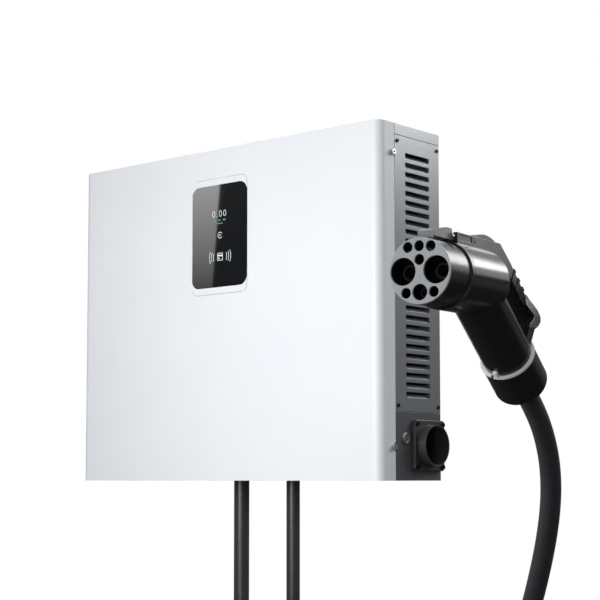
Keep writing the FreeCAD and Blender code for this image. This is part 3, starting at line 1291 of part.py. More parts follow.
def build():
    """Make every node of the station."""
    keep("front_cover", group(make_cover(), make_catch()))
    keep("cover_screws", make_cover_screws())
    keep("rear_chassis", group(make_chassis(), make_module_rails(), make_hanger()))
    keep("top_cover", make_top_cover())
    panel = make_vent_panel()
    keep("right_vent_panel", panel)
    keep("left_vent_panel", mirror_x(panel))
    keep("vent_panel_screws", make_panel_screws())
    lower = make_lower_panel()
    holes = [cyl(SIDE_IN - 1, HOLSTER_Y, HOLSTER_Z, (1, 0, 0), HOLSTER_R + 0.5, 4),
             cyl(SIDE_IN - 1, LOCK_Y, LOCK_Z, (1, 0, 0), LOCK_BODY_R + 0.1, 4)]
    holes += [cyl(SIDE_IN - 1, y, z, (1, 0, 0), HOLSTER_SCREW_R + 0.2, 4)
              for y, z in holster_screw_points()]
    keep("right_lower_panel", lower.cut(Part.makeCompound(holes)))
    keep("left_lower_panel", mirror_x(lower))
    keep("holster", make_holster())
    keep("holster_gasket", make_holster_gasket())
    keep("holster_screws", make_holster_screws())
    keep("lock_barrel", group(make_lock_barrel(), make_lock_nut()))
    keep("lock_plug", group(make_lock_plug(), make_lock_cam()))
    keep("display_glass", make_glass())
    keep("display_bezel", make_bezel())
    keep("display_module", make_display_module())
    keep("card_reader", make_reader())
    keep("gland_tray", make_gland_tray())
    keep("cable_glands", group(make_gland(SUPPLY_X, SUPPLY_D), make_gland(CHARGE_X, CHARGE_D),
                               make_gland_nut(SUPPLY_X, SUPPLY_D),
                               make_gland_nut(CHARGE_X, CHARGE_D)))
    keep("module_case", group(make_module_case(), make_fan_frames()))
    for k, z in enumerate(FAN_Z):
        keep("fan_rotor_%d" % (k + 1), make_fan_rotor(z))
    keep("power_stage", group(make_heat_sink(), make_power_board(), make_capacitors(),
                              make_chokes()))
    keep("air_ducts", group(make_duct(-1), make_duct(1), make_filter()))
    keep("mounting_plate", make_mounting_plate())
    keep("control_board", make_control_board())
    keep("auxiliary_supply", make_aux_supply())
    keep("din_rail", make_din_rail())
    keep("ac_breaker", make_breaker())
    keep("breaker_lever", make_breaker_lever())
    keep("surge_arrester", make_surge())
    keep("ac_contactor", make_ac_contactor())
    keep("energy_meter", make_meter())
    keep("dc_switchgear", group(*[make_dc_contactor(a, b) for a, b in DC_CONTACTORS_X],
                                make_fuse()))
    keep("supply_terminals", make_supply_terminals())
    keep("busbars", group(make_ac_bars(), make_dc_bars(), make_earth_bar()))
    terminals = [(TERMINAL_X + TERMINAL_W / 2 + TERMINAL_PITCH * k, -45, TERMINAL_TOP)
                 for k in range(5)]
    outlets = [((a + b) / 2, -75, RAIL_Z - 46) for a, b in DC_CONTACTORS_X]
    keep("inner_leads", group(*make_inner_cable(SUPPLY_X, SUPPLY_D, 3.4, 18.0, terminals),
                              *make_inner_cable(CHARGE_X, CHARGE_D, 4.2, 0.0, outlets)))
    keep("wall_plate", make_wall_plate())
    keep("rear_feet", make_feet())

    left, right = make_body_halves()
    keep("connector_face", place(make_face()))
    keep("connector_nose", place(make_nose()))
    keep("contacts", place(group(make_power_contacts(), make_earth_contact(),
                                 make_signal_contacts())))
    keep("connector_body_left", place(left))
    keep("connector_body_right", place(right))
    keep("latch", place(make_latch()))
    pin = cyl(-HOUSING_HALF, LATCH_PIVOT[0], LATCH_PIVOT[1], (1, 0, 0), PIN_R, 2 * HOUSING_HALF)
    keep("release_button", place(make_button()))
    keep("latch_fittings", place(group(pin, make_spring_seat(), *make_latch_springs())))
    keep("lock_actuator", place(make_lock_actuator()))
    keep("handle_ring", place(make_handle_ring()))
    keep("collar", place(make_collar()))
    keep("cable_boot", place(make_boot()))
    keep("connector_leads", place(group(make_lead_stub(), *make_connector_leads())))

    coil = make_coil()
    drop, drop_length, _ = cable(CHARGE_ROUTE_DROP, CHARGE_D)
    rise, rise_length, rise_r = cable(charge_route_rise(), CHARGE_D)
    turn = sqrt((2 * pi * COIL_RING_R) ** 2 + COIL_PITCH ** 2)
    print("charging cable: drop %.0f, coil %.0f, rise %.0f, smallest radius %.0f" %
          (drop_length, COIL_TURNS * turn, rise_length, rise_r))
    print("rise volume ratio %.4f" % (rise.Volume / (pi * CHARGE_D ** 2 / 4 * rise_length)))
    keep("charging_cable_drop", drop.cut(coil))
    keep("charging_cable_coil", coil)
    keep("charging_cable_rise", rise.cut(coil))
    keep("coil_ties", group(*make_ties(coil)))
    supply_tube, supply_length, _ = cable(SUPPLY_ROUTE, SUPPLY_D)
    print("supply cable: straight, length %.0f" % supply_length)
    keep("supply_cable", supply_tube)
    keep("supply_cores", make_supply_cores())


build()
for name, shape in NODES.items():
    if not shape.isValid() or shape.Volume <= 0:
        print("CHECK SHAPE", name, shape.isValid(), round(shape.Volume, 1))
    shape.exportStep("parts/%s.step" % name)
print(len(NODES), "nodes,", sum(len(s.Solids) for s in NODES.values()), "solids")
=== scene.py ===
"""Looks of a wall-hung DC fast charging station with its holster, cables and connector."""

import logging
import math
from dataclasses import dataclass, field
from enum import Enum

import bmesh
import bpy
from mathutils import Matrix, Vector


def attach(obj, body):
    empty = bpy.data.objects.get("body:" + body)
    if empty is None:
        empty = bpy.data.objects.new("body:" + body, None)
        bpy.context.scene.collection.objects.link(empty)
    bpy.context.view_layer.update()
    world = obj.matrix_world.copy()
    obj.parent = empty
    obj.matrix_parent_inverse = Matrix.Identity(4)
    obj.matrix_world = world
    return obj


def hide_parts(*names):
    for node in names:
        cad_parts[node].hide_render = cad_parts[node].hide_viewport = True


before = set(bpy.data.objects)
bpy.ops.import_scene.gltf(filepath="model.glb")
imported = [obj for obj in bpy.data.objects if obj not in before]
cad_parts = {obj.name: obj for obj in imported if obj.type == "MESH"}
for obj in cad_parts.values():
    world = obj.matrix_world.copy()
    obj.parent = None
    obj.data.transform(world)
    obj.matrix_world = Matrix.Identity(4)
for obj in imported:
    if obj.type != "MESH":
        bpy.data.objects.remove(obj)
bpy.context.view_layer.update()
LOG = logging.getLogger("charging_station")
MM = 0.001

Point = tuple[float, float, float]
Pair = tuple[float, float]
Tree = bpy.types.NodeTree
Socket = bpy.types.NodeSocket


class Axis(Enum):
    """Direction that a brushed pattern runs in."""

    X = 0
    Y = 1
    Z = 2


def linear(colour: str) -> tuple[float, float, float, float]:
    """Turn an sRGB hex colour to linear values.

    Args:
        colour: Six hex digits, such as "F2F4F5".

    Returns:
        Linear red, green, blue and an alpha of one.
    """
    channels = [int(colour[i:i + 2], 16) / 255 for i in (0, 2, 4)]
    values = [c / 12.92 if c <= 0.04045 else ((c + 0.055) / 1.055) ** 2.4 for c in channels]
    return values[0], values[1], values[2], 1.0


def add_node(tree: Tree, kind: str, settings: dict | None = None,
             inputs: dict | None = None) -> bpy.types.Node:
    """Add a node with its settings, input values and incoming links.

    Args:
        tree: Node tree that takes the node.
        kind: Blender's name of the node type.
        settings: Attributes to set on the node.
        inputs: Input name or number to a value or to another node's output socket.

    Returns:
        The new node.
    """
    node = tree.nodes.new(kind)
    for name, value in (settings or {}).items():
        setattr(node, name, value)
    for name, value in (inputs or {}).items():
        if isinstance(value, Socket):
            tree.links.new(value, node.inputs[name])
        else:
            node.inputs[name].default_value = value
    return node


def new_material(name: str) -> tuple[bpy.types.Material, Tree, bpy.types.Node]:
    """Start a node material with its shader.

    Args:
        name: Name of the material.

    Returns:
        The material, its node tree and its Principled shader.
    """
    material = bpy.data.materials.new(name)
    material.use_nodes = True
    tree = material.node_tree
    return material, tree, tree.nodes["Principled BSDF"]


def ramp(tree: Tree, factor: Socket, low: tuple, high: tuple) -> Socket:
    """Blend two colours over the middle of a pattern's range.

    Args:
        tree: Node tree.
        factor: Pattern that drives the blend.
        low: Colour at 0.3 and below.
        high: Colour at 0.7 and above.

    Returns:
        The blended colour.
    """
    node = add_node(tree, "ShaderNodeValToRGB", inputs={"Fac": factor})
    first, last = node.color_ramp.elements
    first.position, first.color = 0.3, low
    last.position, last.color = 0.7, high
    return node.outputs["Color"]


def spread(tree: Tree, factor: Socket, low: float, high: float) -> Socket:
    """Stretch the middle of a pattern's range to a range of values.

    Args:
        tree: Node tree.
        factor: Pattern that drives the value.
        low: Value at 0.3 and below.
        high: Value at 0.7 and above.

    Returns:
        The stretched value.
    """
    node = add_node(tree, "ShaderNodeMapRange", inputs={
        "Value": factor, "From Min": 0.3, "From Max": 0.7, "To Min": low, "To Max": high})
    return node.outputs["Result"]


def finish_shader(tree: Tree, shader: bpy.types.Node, pattern: Socket, shades: tuple[str, str],
                  roughness: float, swing: float, relief: Socket) -> None:
    """Let one pattern carry a shader's colour and roughness, and give it its relief.

    Args:
        tree: Material's node tree.
        shader: Its Principled shader.
        pattern: Pattern between 0 and 1.
        shades: Hex colours at the pattern's low and high end.
        roughness: Roughness at the pattern's middle.
        swing: Share of the roughness that is added at the low end and taken off at the high end.
        relief: Normal of the relief.
    """
    colour = ramp(tree, pattern, linear(shades[0]), linear(shades[1]))
    rough = spread(tree, pattern, roughness * (1 + swing), roughness * (1 - swing))
    for name, value in (("Base Color", colour), ("Roughness", rough), ("Normal", relief)):
        tree.links.new(value, shader.inputs[name])


@dataclass(frozen=True)
class PowderCoat:
    """Baked polyester powder on sheet steel: a slight orange peel and soft, rounded edges."""

    name: str
    colour: str
    shade: str
    roughness: float
    metallic: float = 0.0
    swing: float = 0.06
    cloud_mm: float = 180.0
    peel_mm: float = 2.2
    peel_depth_mm: float = 0.012
    edge_mm: float = 0.7

    def build(self) -> bpy.types.Material:
        """Make the powder coat.

        Returns:
            The material.
        """
        material, tree, shader = new_material(self.name)
        place = add_node(tree, "ShaderNodeTexCoord").outputs["Object"]
        cloud = add_node(tree, "ShaderNodeTexNoise", inputs={
            "Vector": place, "Scale": 1 / (self.cloud_mm * MM), "Detail": 3.0})
        peel = add_node(tree, "ShaderNodeTexNoise", inputs={
            "Vector": place, "Scale": 1 / (self.peel_mm * MM), "Detail": 1.0, "Roughness": 0.4})
        edge = add_node(tree, "ShaderNodeBevel", {"samples": 6}, {"Radius": self.edge_mm * MM})
        bump = add_node(tree, "ShaderNodeBump", inputs={
            "Height": peel.outputs["Fac"], "Strength": 0.35,
            "Distance": self.peel_depth_mm * MM, "Normal": edge.outputs["Normal"]})
        finish_shader(tree, shader, cloud.outputs["Fac"], (self.shade, self.colour),
                      self.roughness, self.swing, bump.outputs["Normal"])
        shader.inputs["Metallic"].default_value = self.metallic
        return material


@dataclass(frozen=True)
class MouldedPlastic:
    """Injection-moulded ABS or polyamide: a fine spark-eroded grain and rounded edges."""

    name: str
    colour: str
    shade: str
    roughness: float
    swing: float = 0.08
    cloud_mm: float = 30.0
    grain_mm: float = 0.9
    grain_depth_mm: float = 0.02
    edge_mm: float = 0.6
    coat: float = 0.0

    def build(self) -> bpy.types.Material:
        """Make the plastic.

        Returns:
            The material.
        """
        material, tree, shader = new_material(self.name)
        place = add_node(tree, "ShaderNodeTexCoord").outputs["Object"]
        cloud = add_node(tree, "ShaderNodeTexNoise", inputs={
            "Vector": place, "Scale": 1 / (self.cloud_mm * MM), "Detail": 3.0})
        grain = add_node(tree, "ShaderNodeTexNoise", inputs={
            "Vector": place, "Scale": 1 / (self.grain_mm * MM), "Detail": 2.0})
        edge = add_node(tree, "ShaderNodeBevel", {"samples": 6}, {"Radius": self.edge_mm * MM})
        bump = add_node(tree, "ShaderNodeBump", inputs={
            "Height": grain.outputs["Fac"], "Strength": 0.4,
            "Distance": self.grain_depth_mm * MM, "Normal": edge.outputs["Normal"]})
        finish_shader(tree, shader, cloud.outputs["Fac"], (self.shade, self.colour),
                      self.roughness, self.swing, bump.outputs["Normal"])
        shader.inputs["Coat Weight"].default_value = self.coat
        shader.inputs["Coat Roughness"].default_value = 0.18
        return material


@dataclass(frozen=True)
class BrushedMetal:
    """Rolled, turned or plated metal: fine lines along one axis, drawn coarse enough to show."""

    name: str
    colour: str
    shade: str
    roughness: float
    axis: Axis
    line_mm: float
    run_mm: float
    swing: float = 0.2
    depth_mm: float = 0.01
    edge_mm: float = 0.3

    def build(self) -> bpy.types.Material:
        """Make the metal.

        Returns:
            The material.
        """
        material, tree, shader = new_material(self.name)
        place = add_node(tree, "ShaderNodeTexCoord").outputs["Object"]
        scale = [1 / (self.line_mm * MM)] * 3
        scale[self.axis.value] = 1 / (self.run_mm * MM)
        stretch = add_node(tree, "ShaderNodeMapping", inputs={"Vector": place, "Scale": scale})
        lines = add_node(tree, "ShaderNodeTexNoise", inputs={
            "Vector": stretch.outputs["Vector"], "Scale": 1.0, "Detail": 3.0})
        edge = add_node(tree, "ShaderNodeBevel", {"samples": 4}, {"Radius": self.edge_mm * MM})
        bump = add_node(tree, "ShaderNodeBump", inputs={
            "Height": lines.outputs["Fac"], "Strength": 0.3,
            "Distance": self.depth_mm * MM, "Normal": edge.outputs["Normal"]})
        finish_shader(tree, shader, lines.outputs["Fac"], (self.shade, self.colour),
                      self.roughness, self.swing, bump.outputs["Normal"])
        shader.inputs["Metallic"].default_value = 1.0
        return material


@dataclass(frozen=True)
class CableJacket:
    """Extruded cable sheath: matte, faintly sheeny, with a soft ripple."""

    name: str
    colour: str
    shade: str
    roughness: float
    swing: float = 0.1
    cloud_mm: float = 14.0
    ripple_mm: float = 3.0
    ripple_depth_mm: float = 0.05

    def build(self) -> bpy.types.Material:
        """Make the jacket.

        Returns:
            The material.
        """
        material, tree, shader = new_material(self.name)
        place = add_node(tree, "ShaderNodeTexCoord").outputs["Object"]
        cloud = add_node(tree, "ShaderNodeTexNoise", inputs={
            "Vector": place, "Scale": 1 / (self.cloud_mm * MM), "Detail": 4.0})
        ripple = add_node(tree, "ShaderNodeTexNoise", inputs={
            "Vector": place, "Scale": 1 / (self.ripple_mm * MM), "Detail": 2.0})
        bump = add_node(tree, "ShaderNodeBump", inputs={
            "Height": ripple.outputs["Fac"], "Strength": 0.25,
            "Distance": self.ripple_depth_mm * MM})
        finish_shader(tree, shader, cloud.outputs["Fac"], (self.shade, self.colour),
                      self.roughness, self.swing, bump.outputs["Normal"])
        shader.inputs["Sheen Weight"].default_value = 0.08
        shader.inputs["Sheen Roughness"].default_value = 0.5
        return material


@dataclass(frozen=True)
class HoleShadedContact:
    """Silver-plated contact whose front end is painted near-black: painted shade of the deep holes
    it sits in.
    """

    name: str
    silver: str
    # Painted shade: near-black colour of the contacts' front, where the holes lie in shade
    hole_shade: str
    silver_roughness: float = 0.28
    hole_shade_roughness: float = 0.75
    face_at: Point = (1.0365, -0.9868, -0.0973)
    turn_deg: float = 10.4
    hole_shade_end_mm: float = 48.0

    def build(self) -> bpy.types.Material:
        """Make the contact's painted shade in front and its silver behind, parted by their depth
        behind the connector's face.

        Returns:
            The material.
        """
        material, tree, shader = new_material(self.name)
        place = add_node(tree, "ShaderNodeTexCoord").outputs["Object"]
        from_face = add_node(tree, "ShaderNodeVectorMath", {"operation": "SUBTRACT"}, {
            0: place, 1: self.face_at})
        turn = math.radians(self.turn_deg)
        depth = add_node(tree, "ShaderNodeVectorMath", {"operation": "DOT_PRODUCT"}, {
            0: from_face.outputs[0], 1: (-math.sin(turn), math.cos(turn), 0.0)})
        behind = add_node(tree, "ShaderNodeMath", {"operation": "GREATER_THAN"}, {
            0: depth.outputs["Value"], 1: self.hole_shade_end_mm * MM}).outputs[0]
        # Painted shade: near-black in front of the set depth, silver behind it
        colour = add_node(tree, "ShaderNodeMix", {"data_type": "RGBA"}, {
            0: behind, 6: linear(self.hole_shade), 7: linear(self.silver)})
        rough = spread(tree, behind, self.hole_shade_roughness, self.silver_roughness)
        tree.links.new(colour.outputs[2], shader.inputs["Base Color"])
        tree.links.new(behind, shader.inputs["Metallic"])
        tree.links.new(rough, shader.inputs["Roughness"])
        return material


@dataclass(frozen=True)
class BackedGlass:
    """Toughened glass with a black field of round corners behind it and matt white margins."""

    name: str
    colour: str
    shade: str
    margin: str
    polished: float = 0.025
    matt: float = 0.42
    cloud_mm: float = 120.0
    centre_mm: Pair = (0.0, 141.0)
    field_mm: Pair = (137.2, 187.0)
    corner_mm: float = 18.0

    def inside(self, tree: Tree, place: Socket) -> Socket:
        """Give 1 inside the black field and 0 on the margins.

        Args:
            tree: Material's node tree.
            place: Point on the glass in metres.

        Returns:
            The mask.
        """
        x, z = self.centre_mm
        wide, tall = (side / 2 - self.corner_mm for side in self.field_mm)
        off = add_node(tree, "ShaderNodeVectorMath", {"operation": "SUBTRACT"}, {
            0: place, 1: (x * MM, 0.0, z * MM)})
        flat = add_node(tree, "ShaderNodeVectorMath", {"operation": "MULTIPLY"}, {
            0: off.outputs[0], 1: (1.0, 0.0, 1.0)})
        folded = add_node(tree, "ShaderNodeVectorMath", {"operation": "ABSOLUTE"}, {
            0: flat.outputs[0]})
        past = add_node(tree, "ShaderNodeVectorMath", {"operation": "SUBTRACT"}, {
            0: folded.outputs[0], 1: (wide * MM, 0.0, tall * MM)})
        corner = add_node(tree, "ShaderNodeVectorMath", {"operation": "MAXIMUM"}, {
            0: past.outputs[0], 1: (0.0, 0.0, 0.0)})
        reach = add_node(tree, "ShaderNodeVectorMath", {"operation": "LENGTH"}, {
            0: corner.outputs[0]})
        return add_node(tree, "ShaderNodeMath", {"operation": "LESS_THAN"}, {
            0: reach.outputs["Value"], 1: self.corner_mm * MM}).outputs[0]

    def build(self) -> bpy.types.Material:
        """Make the glass.

        Returns:
            The material.
        """
        material, tree, shader = new_material(self.name)
        place = add_node(tree, "ShaderNodeTexCoord").outputs["Object"]
        cloud = add_node(tree, "ShaderNodeTexNoise", inputs={
            "Vector": place, "Scale": 1 / (self.cloud_mm * MM), "Detail": 2.0})
        black = ramp(tree, cloud.outputs["Fac"], linear(self.shade), linear(self.colour))
        within = self.inside(tree, place)
        colour = add_node(tree, "ShaderNodeMix", {"data_type": "RGBA"}, {
            0: within, 6: linear(self.margin), 7: black})
        rough = add_node(tree, "ShaderNodeMapRange", inputs={
            "Value": within, "To Min": self.matt, "To Max": self.polished})
        tree.links.new(colour.outputs[2], shader.inputs["Base Color"])
        tree.links.new(rough.outputs["Result"], shader.inputs["Roughness"])
        shader.inputs["IOR"].default_value = 1.52
        return material


@dataclass(frozen=True)
class LitPrint:
    """Lit characters behind the display glass: an even glow with a faint pixel grain."""

    name: str
    colour: str
    strength: float
    pixel_mm: float = 0.5
    dimmer: float = 0.92

    def build(self) -> bpy.types.Material:
        """Make the lit print.

        Returns:
            The material.
        """
        material, tree, shader = new_material(self.name)
        place = add_node(tree, "ShaderNodeTexCoord").outputs["Object"]
        grain = add_node(tree, "ShaderNodeTexNoise", inputs={
            "Vector": place, "Scale": 1 / (self.pixel_mm * MM), "Detail": 0.0})
        bright = linear(self.colour)
        glow = ramp(tree, grain.outputs["Fac"], tuple(c * self.dimmer for c in bright), bright)
        tree.links.new(glow, shader.inputs["Emission Color"])
        tree.links.new(glow, shader.inputs["Base Color"])
        shader.inputs["Emission Strength"].default_value = self.strength
        shader.inputs["Roughness"].default_value = 0.3
        return material


class Finish(Enum):
    """Finishes of the station, each with its colour at the pattern's high and low end."""

    # Baked white polyester powder on sheet steel: bluish white, soft sheen
    WHITE_POWDER = PowderCoat("white_powder_coat", "F3F5F7", "EFF1F4", 0.42)
    # Mid-grey powder with metal flake: satin, picks up a broad sheen
    GREY_POWDER = PowderCoat("grey_powder_coat", "949698", "8C8E90", 0.32, metallic=0.55)
    # Dark grey satin powder of the lower side panels: almost black in the shade
    BLACK_POWDER = PowderCoat("black_powder_coat", "5A5C5E", "525456", 0.40)
    # Galvanised steel sheet: dull, cloudy
    ZINC = BrushedMetal("galvanised_sheet", "B4B8BA", "9FA3A6", 0.42, Axis.X, 1.5, 60.0)
    # Bright zinc-plated screws: small sharp glints
    BRIGHT_SCREW = BrushedMetal("bright_zinc_screw", "D2D3D4", "B9BABC", 0.24, Axis.Y, 0.4, 4.0)
    # Black oxide on screws, pin and springs: dark, with a dull sheen
    BLACK_STEEL = BrushedMetal("black_oxide_screw", "2A2A2B", "202021", 0.38, Axis.Y, 0.4, 4.0)
    # Nickel-plated zinc casting of the cam lock: warm grey, softly mirroring
    NICKEL = BrushedMetal("nickel_plating", "C9C7C2", "B5B3AE", 0.22, Axis.Z, 0.4, 6.0)
    # Black glass-filled polyamide with a fine eroded grain: satin, dark
    BLACK_PLASTIC = MouldedPlastic("black_polyamide", "202122", "1C1D1E", 0.21,
                                   grain_mm=0.6, grain_depth_mm=0.008)
    # Latch hook painted light grey, lighter than the body it sits in: a painted reflection of the
    # gleam along its top and side
    HOOK_PAINTED_GLEAM = MouldedPlastic("latch_painted_reflection", "A2A4A6", "999B9D", 0.26,
                                  grain_mm=0.6, grain_depth_mm=0.008)
    # Black polycarbonate blend of the holster: a shade lighter and duller
    HOLSTER_PLASTIC = MouldedPlastic("black_polycarbonate", "3A3B3D", "333436", 0.38)
    # Black nose moulding: a little deeper and duller than the body behind it
    NOSE_PLASTIC = MouldedPlastic("satin_black_nose", "141516", "101112", 0.28,
                                  grain_mm=0.6, grain_depth_mm=0.01)
    # Grey contact carrier: even satin
    FACE_PLASTIC = MouldedPlastic("grey_contact_carrier", "C6C9CB", "BDC0C2", 0.38)
    # Light grey ABS of the rail devices: dull
    DEVICE_PLASTIC = MouldedPlastic("light_grey_abs", "BCBEBF", "B2B4B5", 0.48)
    # Grey ABS air ducts: plain and dull
    DUCT_PLASTIC = MouldedPlastic("grey_abs", "A3A6A8", "999C9E", 0.40)
    # Pale grey sealing ring of the handle: the brightest line on the connector
    RING_PLASTIC = MouldedPlastic("pale_grey_seal", "F0F1F2", "E8EAEB", 0.32)
    # Soft black elastomer of boot, feet, gasket and ties: matte
    ELASTOMER = MouldedPlastic("black_elastomer", "0F0F10", "0B0B0C", 0.5,
                               grain_mm=1.4, grain_depth_mm=0.03)
    # Green solder mask on glass-fibre board: a thin clear gloss
    BOARD = MouldedPlastic("green_solder_mask", "1F5C3A", "184D30", 0.32,
                           grain_mm=2.0, edge_mm=0.2, coat=0.3)
    # Extruded aluminium: long dull lines
    ALUMINIUM = BrushedMetal("extruded_aluminium", "C8CACC", "B4B7BA", 0.36, Axis.X, 0.6, 40.0)
    # Bare copper bars: warm, drawn lengthways
    COPPER = BrushedMetal("copper_bar", "C77B4E", "B36A40", 0.28, Axis.X, 0.5, 30.0)
    # Painted shade: the front of the contacts painted near-black for the shade in their holes,
    # silver behind
    CONTACT_HOLE_SHADE = HoleShadedContact("contact_painted_hole_shade", "D9D7D0", "050506")
    # Polyurethane cable jacket: black, faintly sheeny
    JACKET = CableJacket("black_cable_jacket", "36373A", "2E2F31", 0.33)
    # Insulation of the supply's cores, shown as one dull red
    CORE = CableJacket("core_insulation", "7A2B24", "66221C", 0.45)
    # Display glass: black print behind it, matt white margins above and below
    GLASS = BackedGlass("black_backed_glass", "08090A", "060607", "F1F3F5")
    # Main figures and signs of the display: soft white
    LIT_WHITE = LitPrint("lit_white_print", "C9CFD2", 0.55)
    # Units under the reading: dim grey
    LIT_GREY = LitPrint("lit_grey_print", "6E7375", 0.35)
    # Bar under the units: muted green
    LIT_GREEN = LitPrint("lit_green_print", "2A7A54", 0.4)


NODE_FINISHES = {
    Finish.WHITE_POWDER: ("front_cover",),
    Finish.GREY_POWDER: ("top_cover", "right_vent_panel", "left_vent_panel"),
    Finish.BLACK_POWDER: ("right_lower_panel", "left_lower_panel"),
    Finish.ZINC: ("rear_chassis", "gland_tray", "mounting_plate", "din_rail", "wall_plate"),
    Finish.BRIGHT_SCREW: ("cover_screws",),
    Finish.BLACK_STEEL: ("vent_panel_screws", "holster_screws", "latch_fittings"),
    Finish.NICKEL: ("lock_barrel", "lock_plug"),
    Finish.BLACK_PLASTIC: (
        "display_bezel", "cable_glands", "fan_rotor_1", "fan_rotor_2", "fan_rotor_3",
        "breaker_lever", "connector_body_left", "connector_body_right", "release_button",
        "collar"),
    # Latch in its painted-reflection grey
    Finish.HOOK_PAINTED_GLEAM: ("latch",),
    Finish.HOLSTER_PLASTIC: ("holster",),
    Finish.NOSE_PLASTIC: ("connector_nose",),
    Finish.FACE_PLASTIC: ("connector_face",),
    Finish.DEVICE_PLASTIC: (
        "display_module", "ac_breaker", "surge_arrester", "ac_contactor", "energy_meter",
        "dc_switchgear", "supply_terminals", "lock_actuator"),
    Finish.DUCT_PLASTIC: ("air_ducts",),
    Finish.RING_PLASTIC: ("handle_ring",),
    Finish.ELASTOMER: ("holster_gasket", "rear_feet", "cable_boot", "coil_ties"),
    Finish.BOARD: ("card_reader", "control_board"),
    Finish.ALUMINIUM: ("module_case", "power_stage", "auxiliary_supply"),
    Finish.COPPER: ("busbars",),
    Finish.CONTACT_HOLE_SHADE: ("contacts",),
    Finish.JACKET: (
        "inner_leads", "connector_leads", "charging_cable_drop", "charging_cable_coil",
        "charging_cable_rise", "supply_cable"),
    Finish.CORE: ("supply_cores",),
    Finish.GLASS: ("display_glass",),
}

CHARGING_CABLE_NODES = ("charging_cable_drop", "charging_cable_coil", "charging_cable_rise")


@dataclass
class Paint:
    """Makes each finish once and puts it on CAD nodes and new pieces."""

    made: dict[Finish, bpy.types.Material] = field(default_factory=dict)

    def put(self, piece: bpy.types.Object, finish: Finish) -> None:
        """Give a piece one finish all over.

        Args:
            piece: CAD node or new piece.
            finish: Its finish.
        """
        if finish not in self.made:
            self.made[finish] = finish.value.build()
        piece.data.materials.clear()
        piece.data.materials.append(self.made[finish])

    def dress_nodes(self) -> None:
        """Give every CAD node its finish."""
        for finish, nodes in NODE_FINISHES.items():
            for node in nodes:
                self.put(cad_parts[node], finish)
                LOG.info("dressed %s in %s", node, finish.value.name)


def to_object(mesh: bmesh.types.BMesh, name: str) -> bpy.types.Object:
    """Turn a finished bmesh to a linked object at the origin.

    Args:
        mesh: Finished mesh, freed here.
        name: Name of the object and of its data.

    Returns:
        The object.
    """
    data = bpy.data.meshes.new(name)
    mesh.to_mesh(data)
    mesh.free()
    piece = bpy.data.objects.new(name, data)
    bpy.context.scene.collection.objects.link(piece)
    return piece


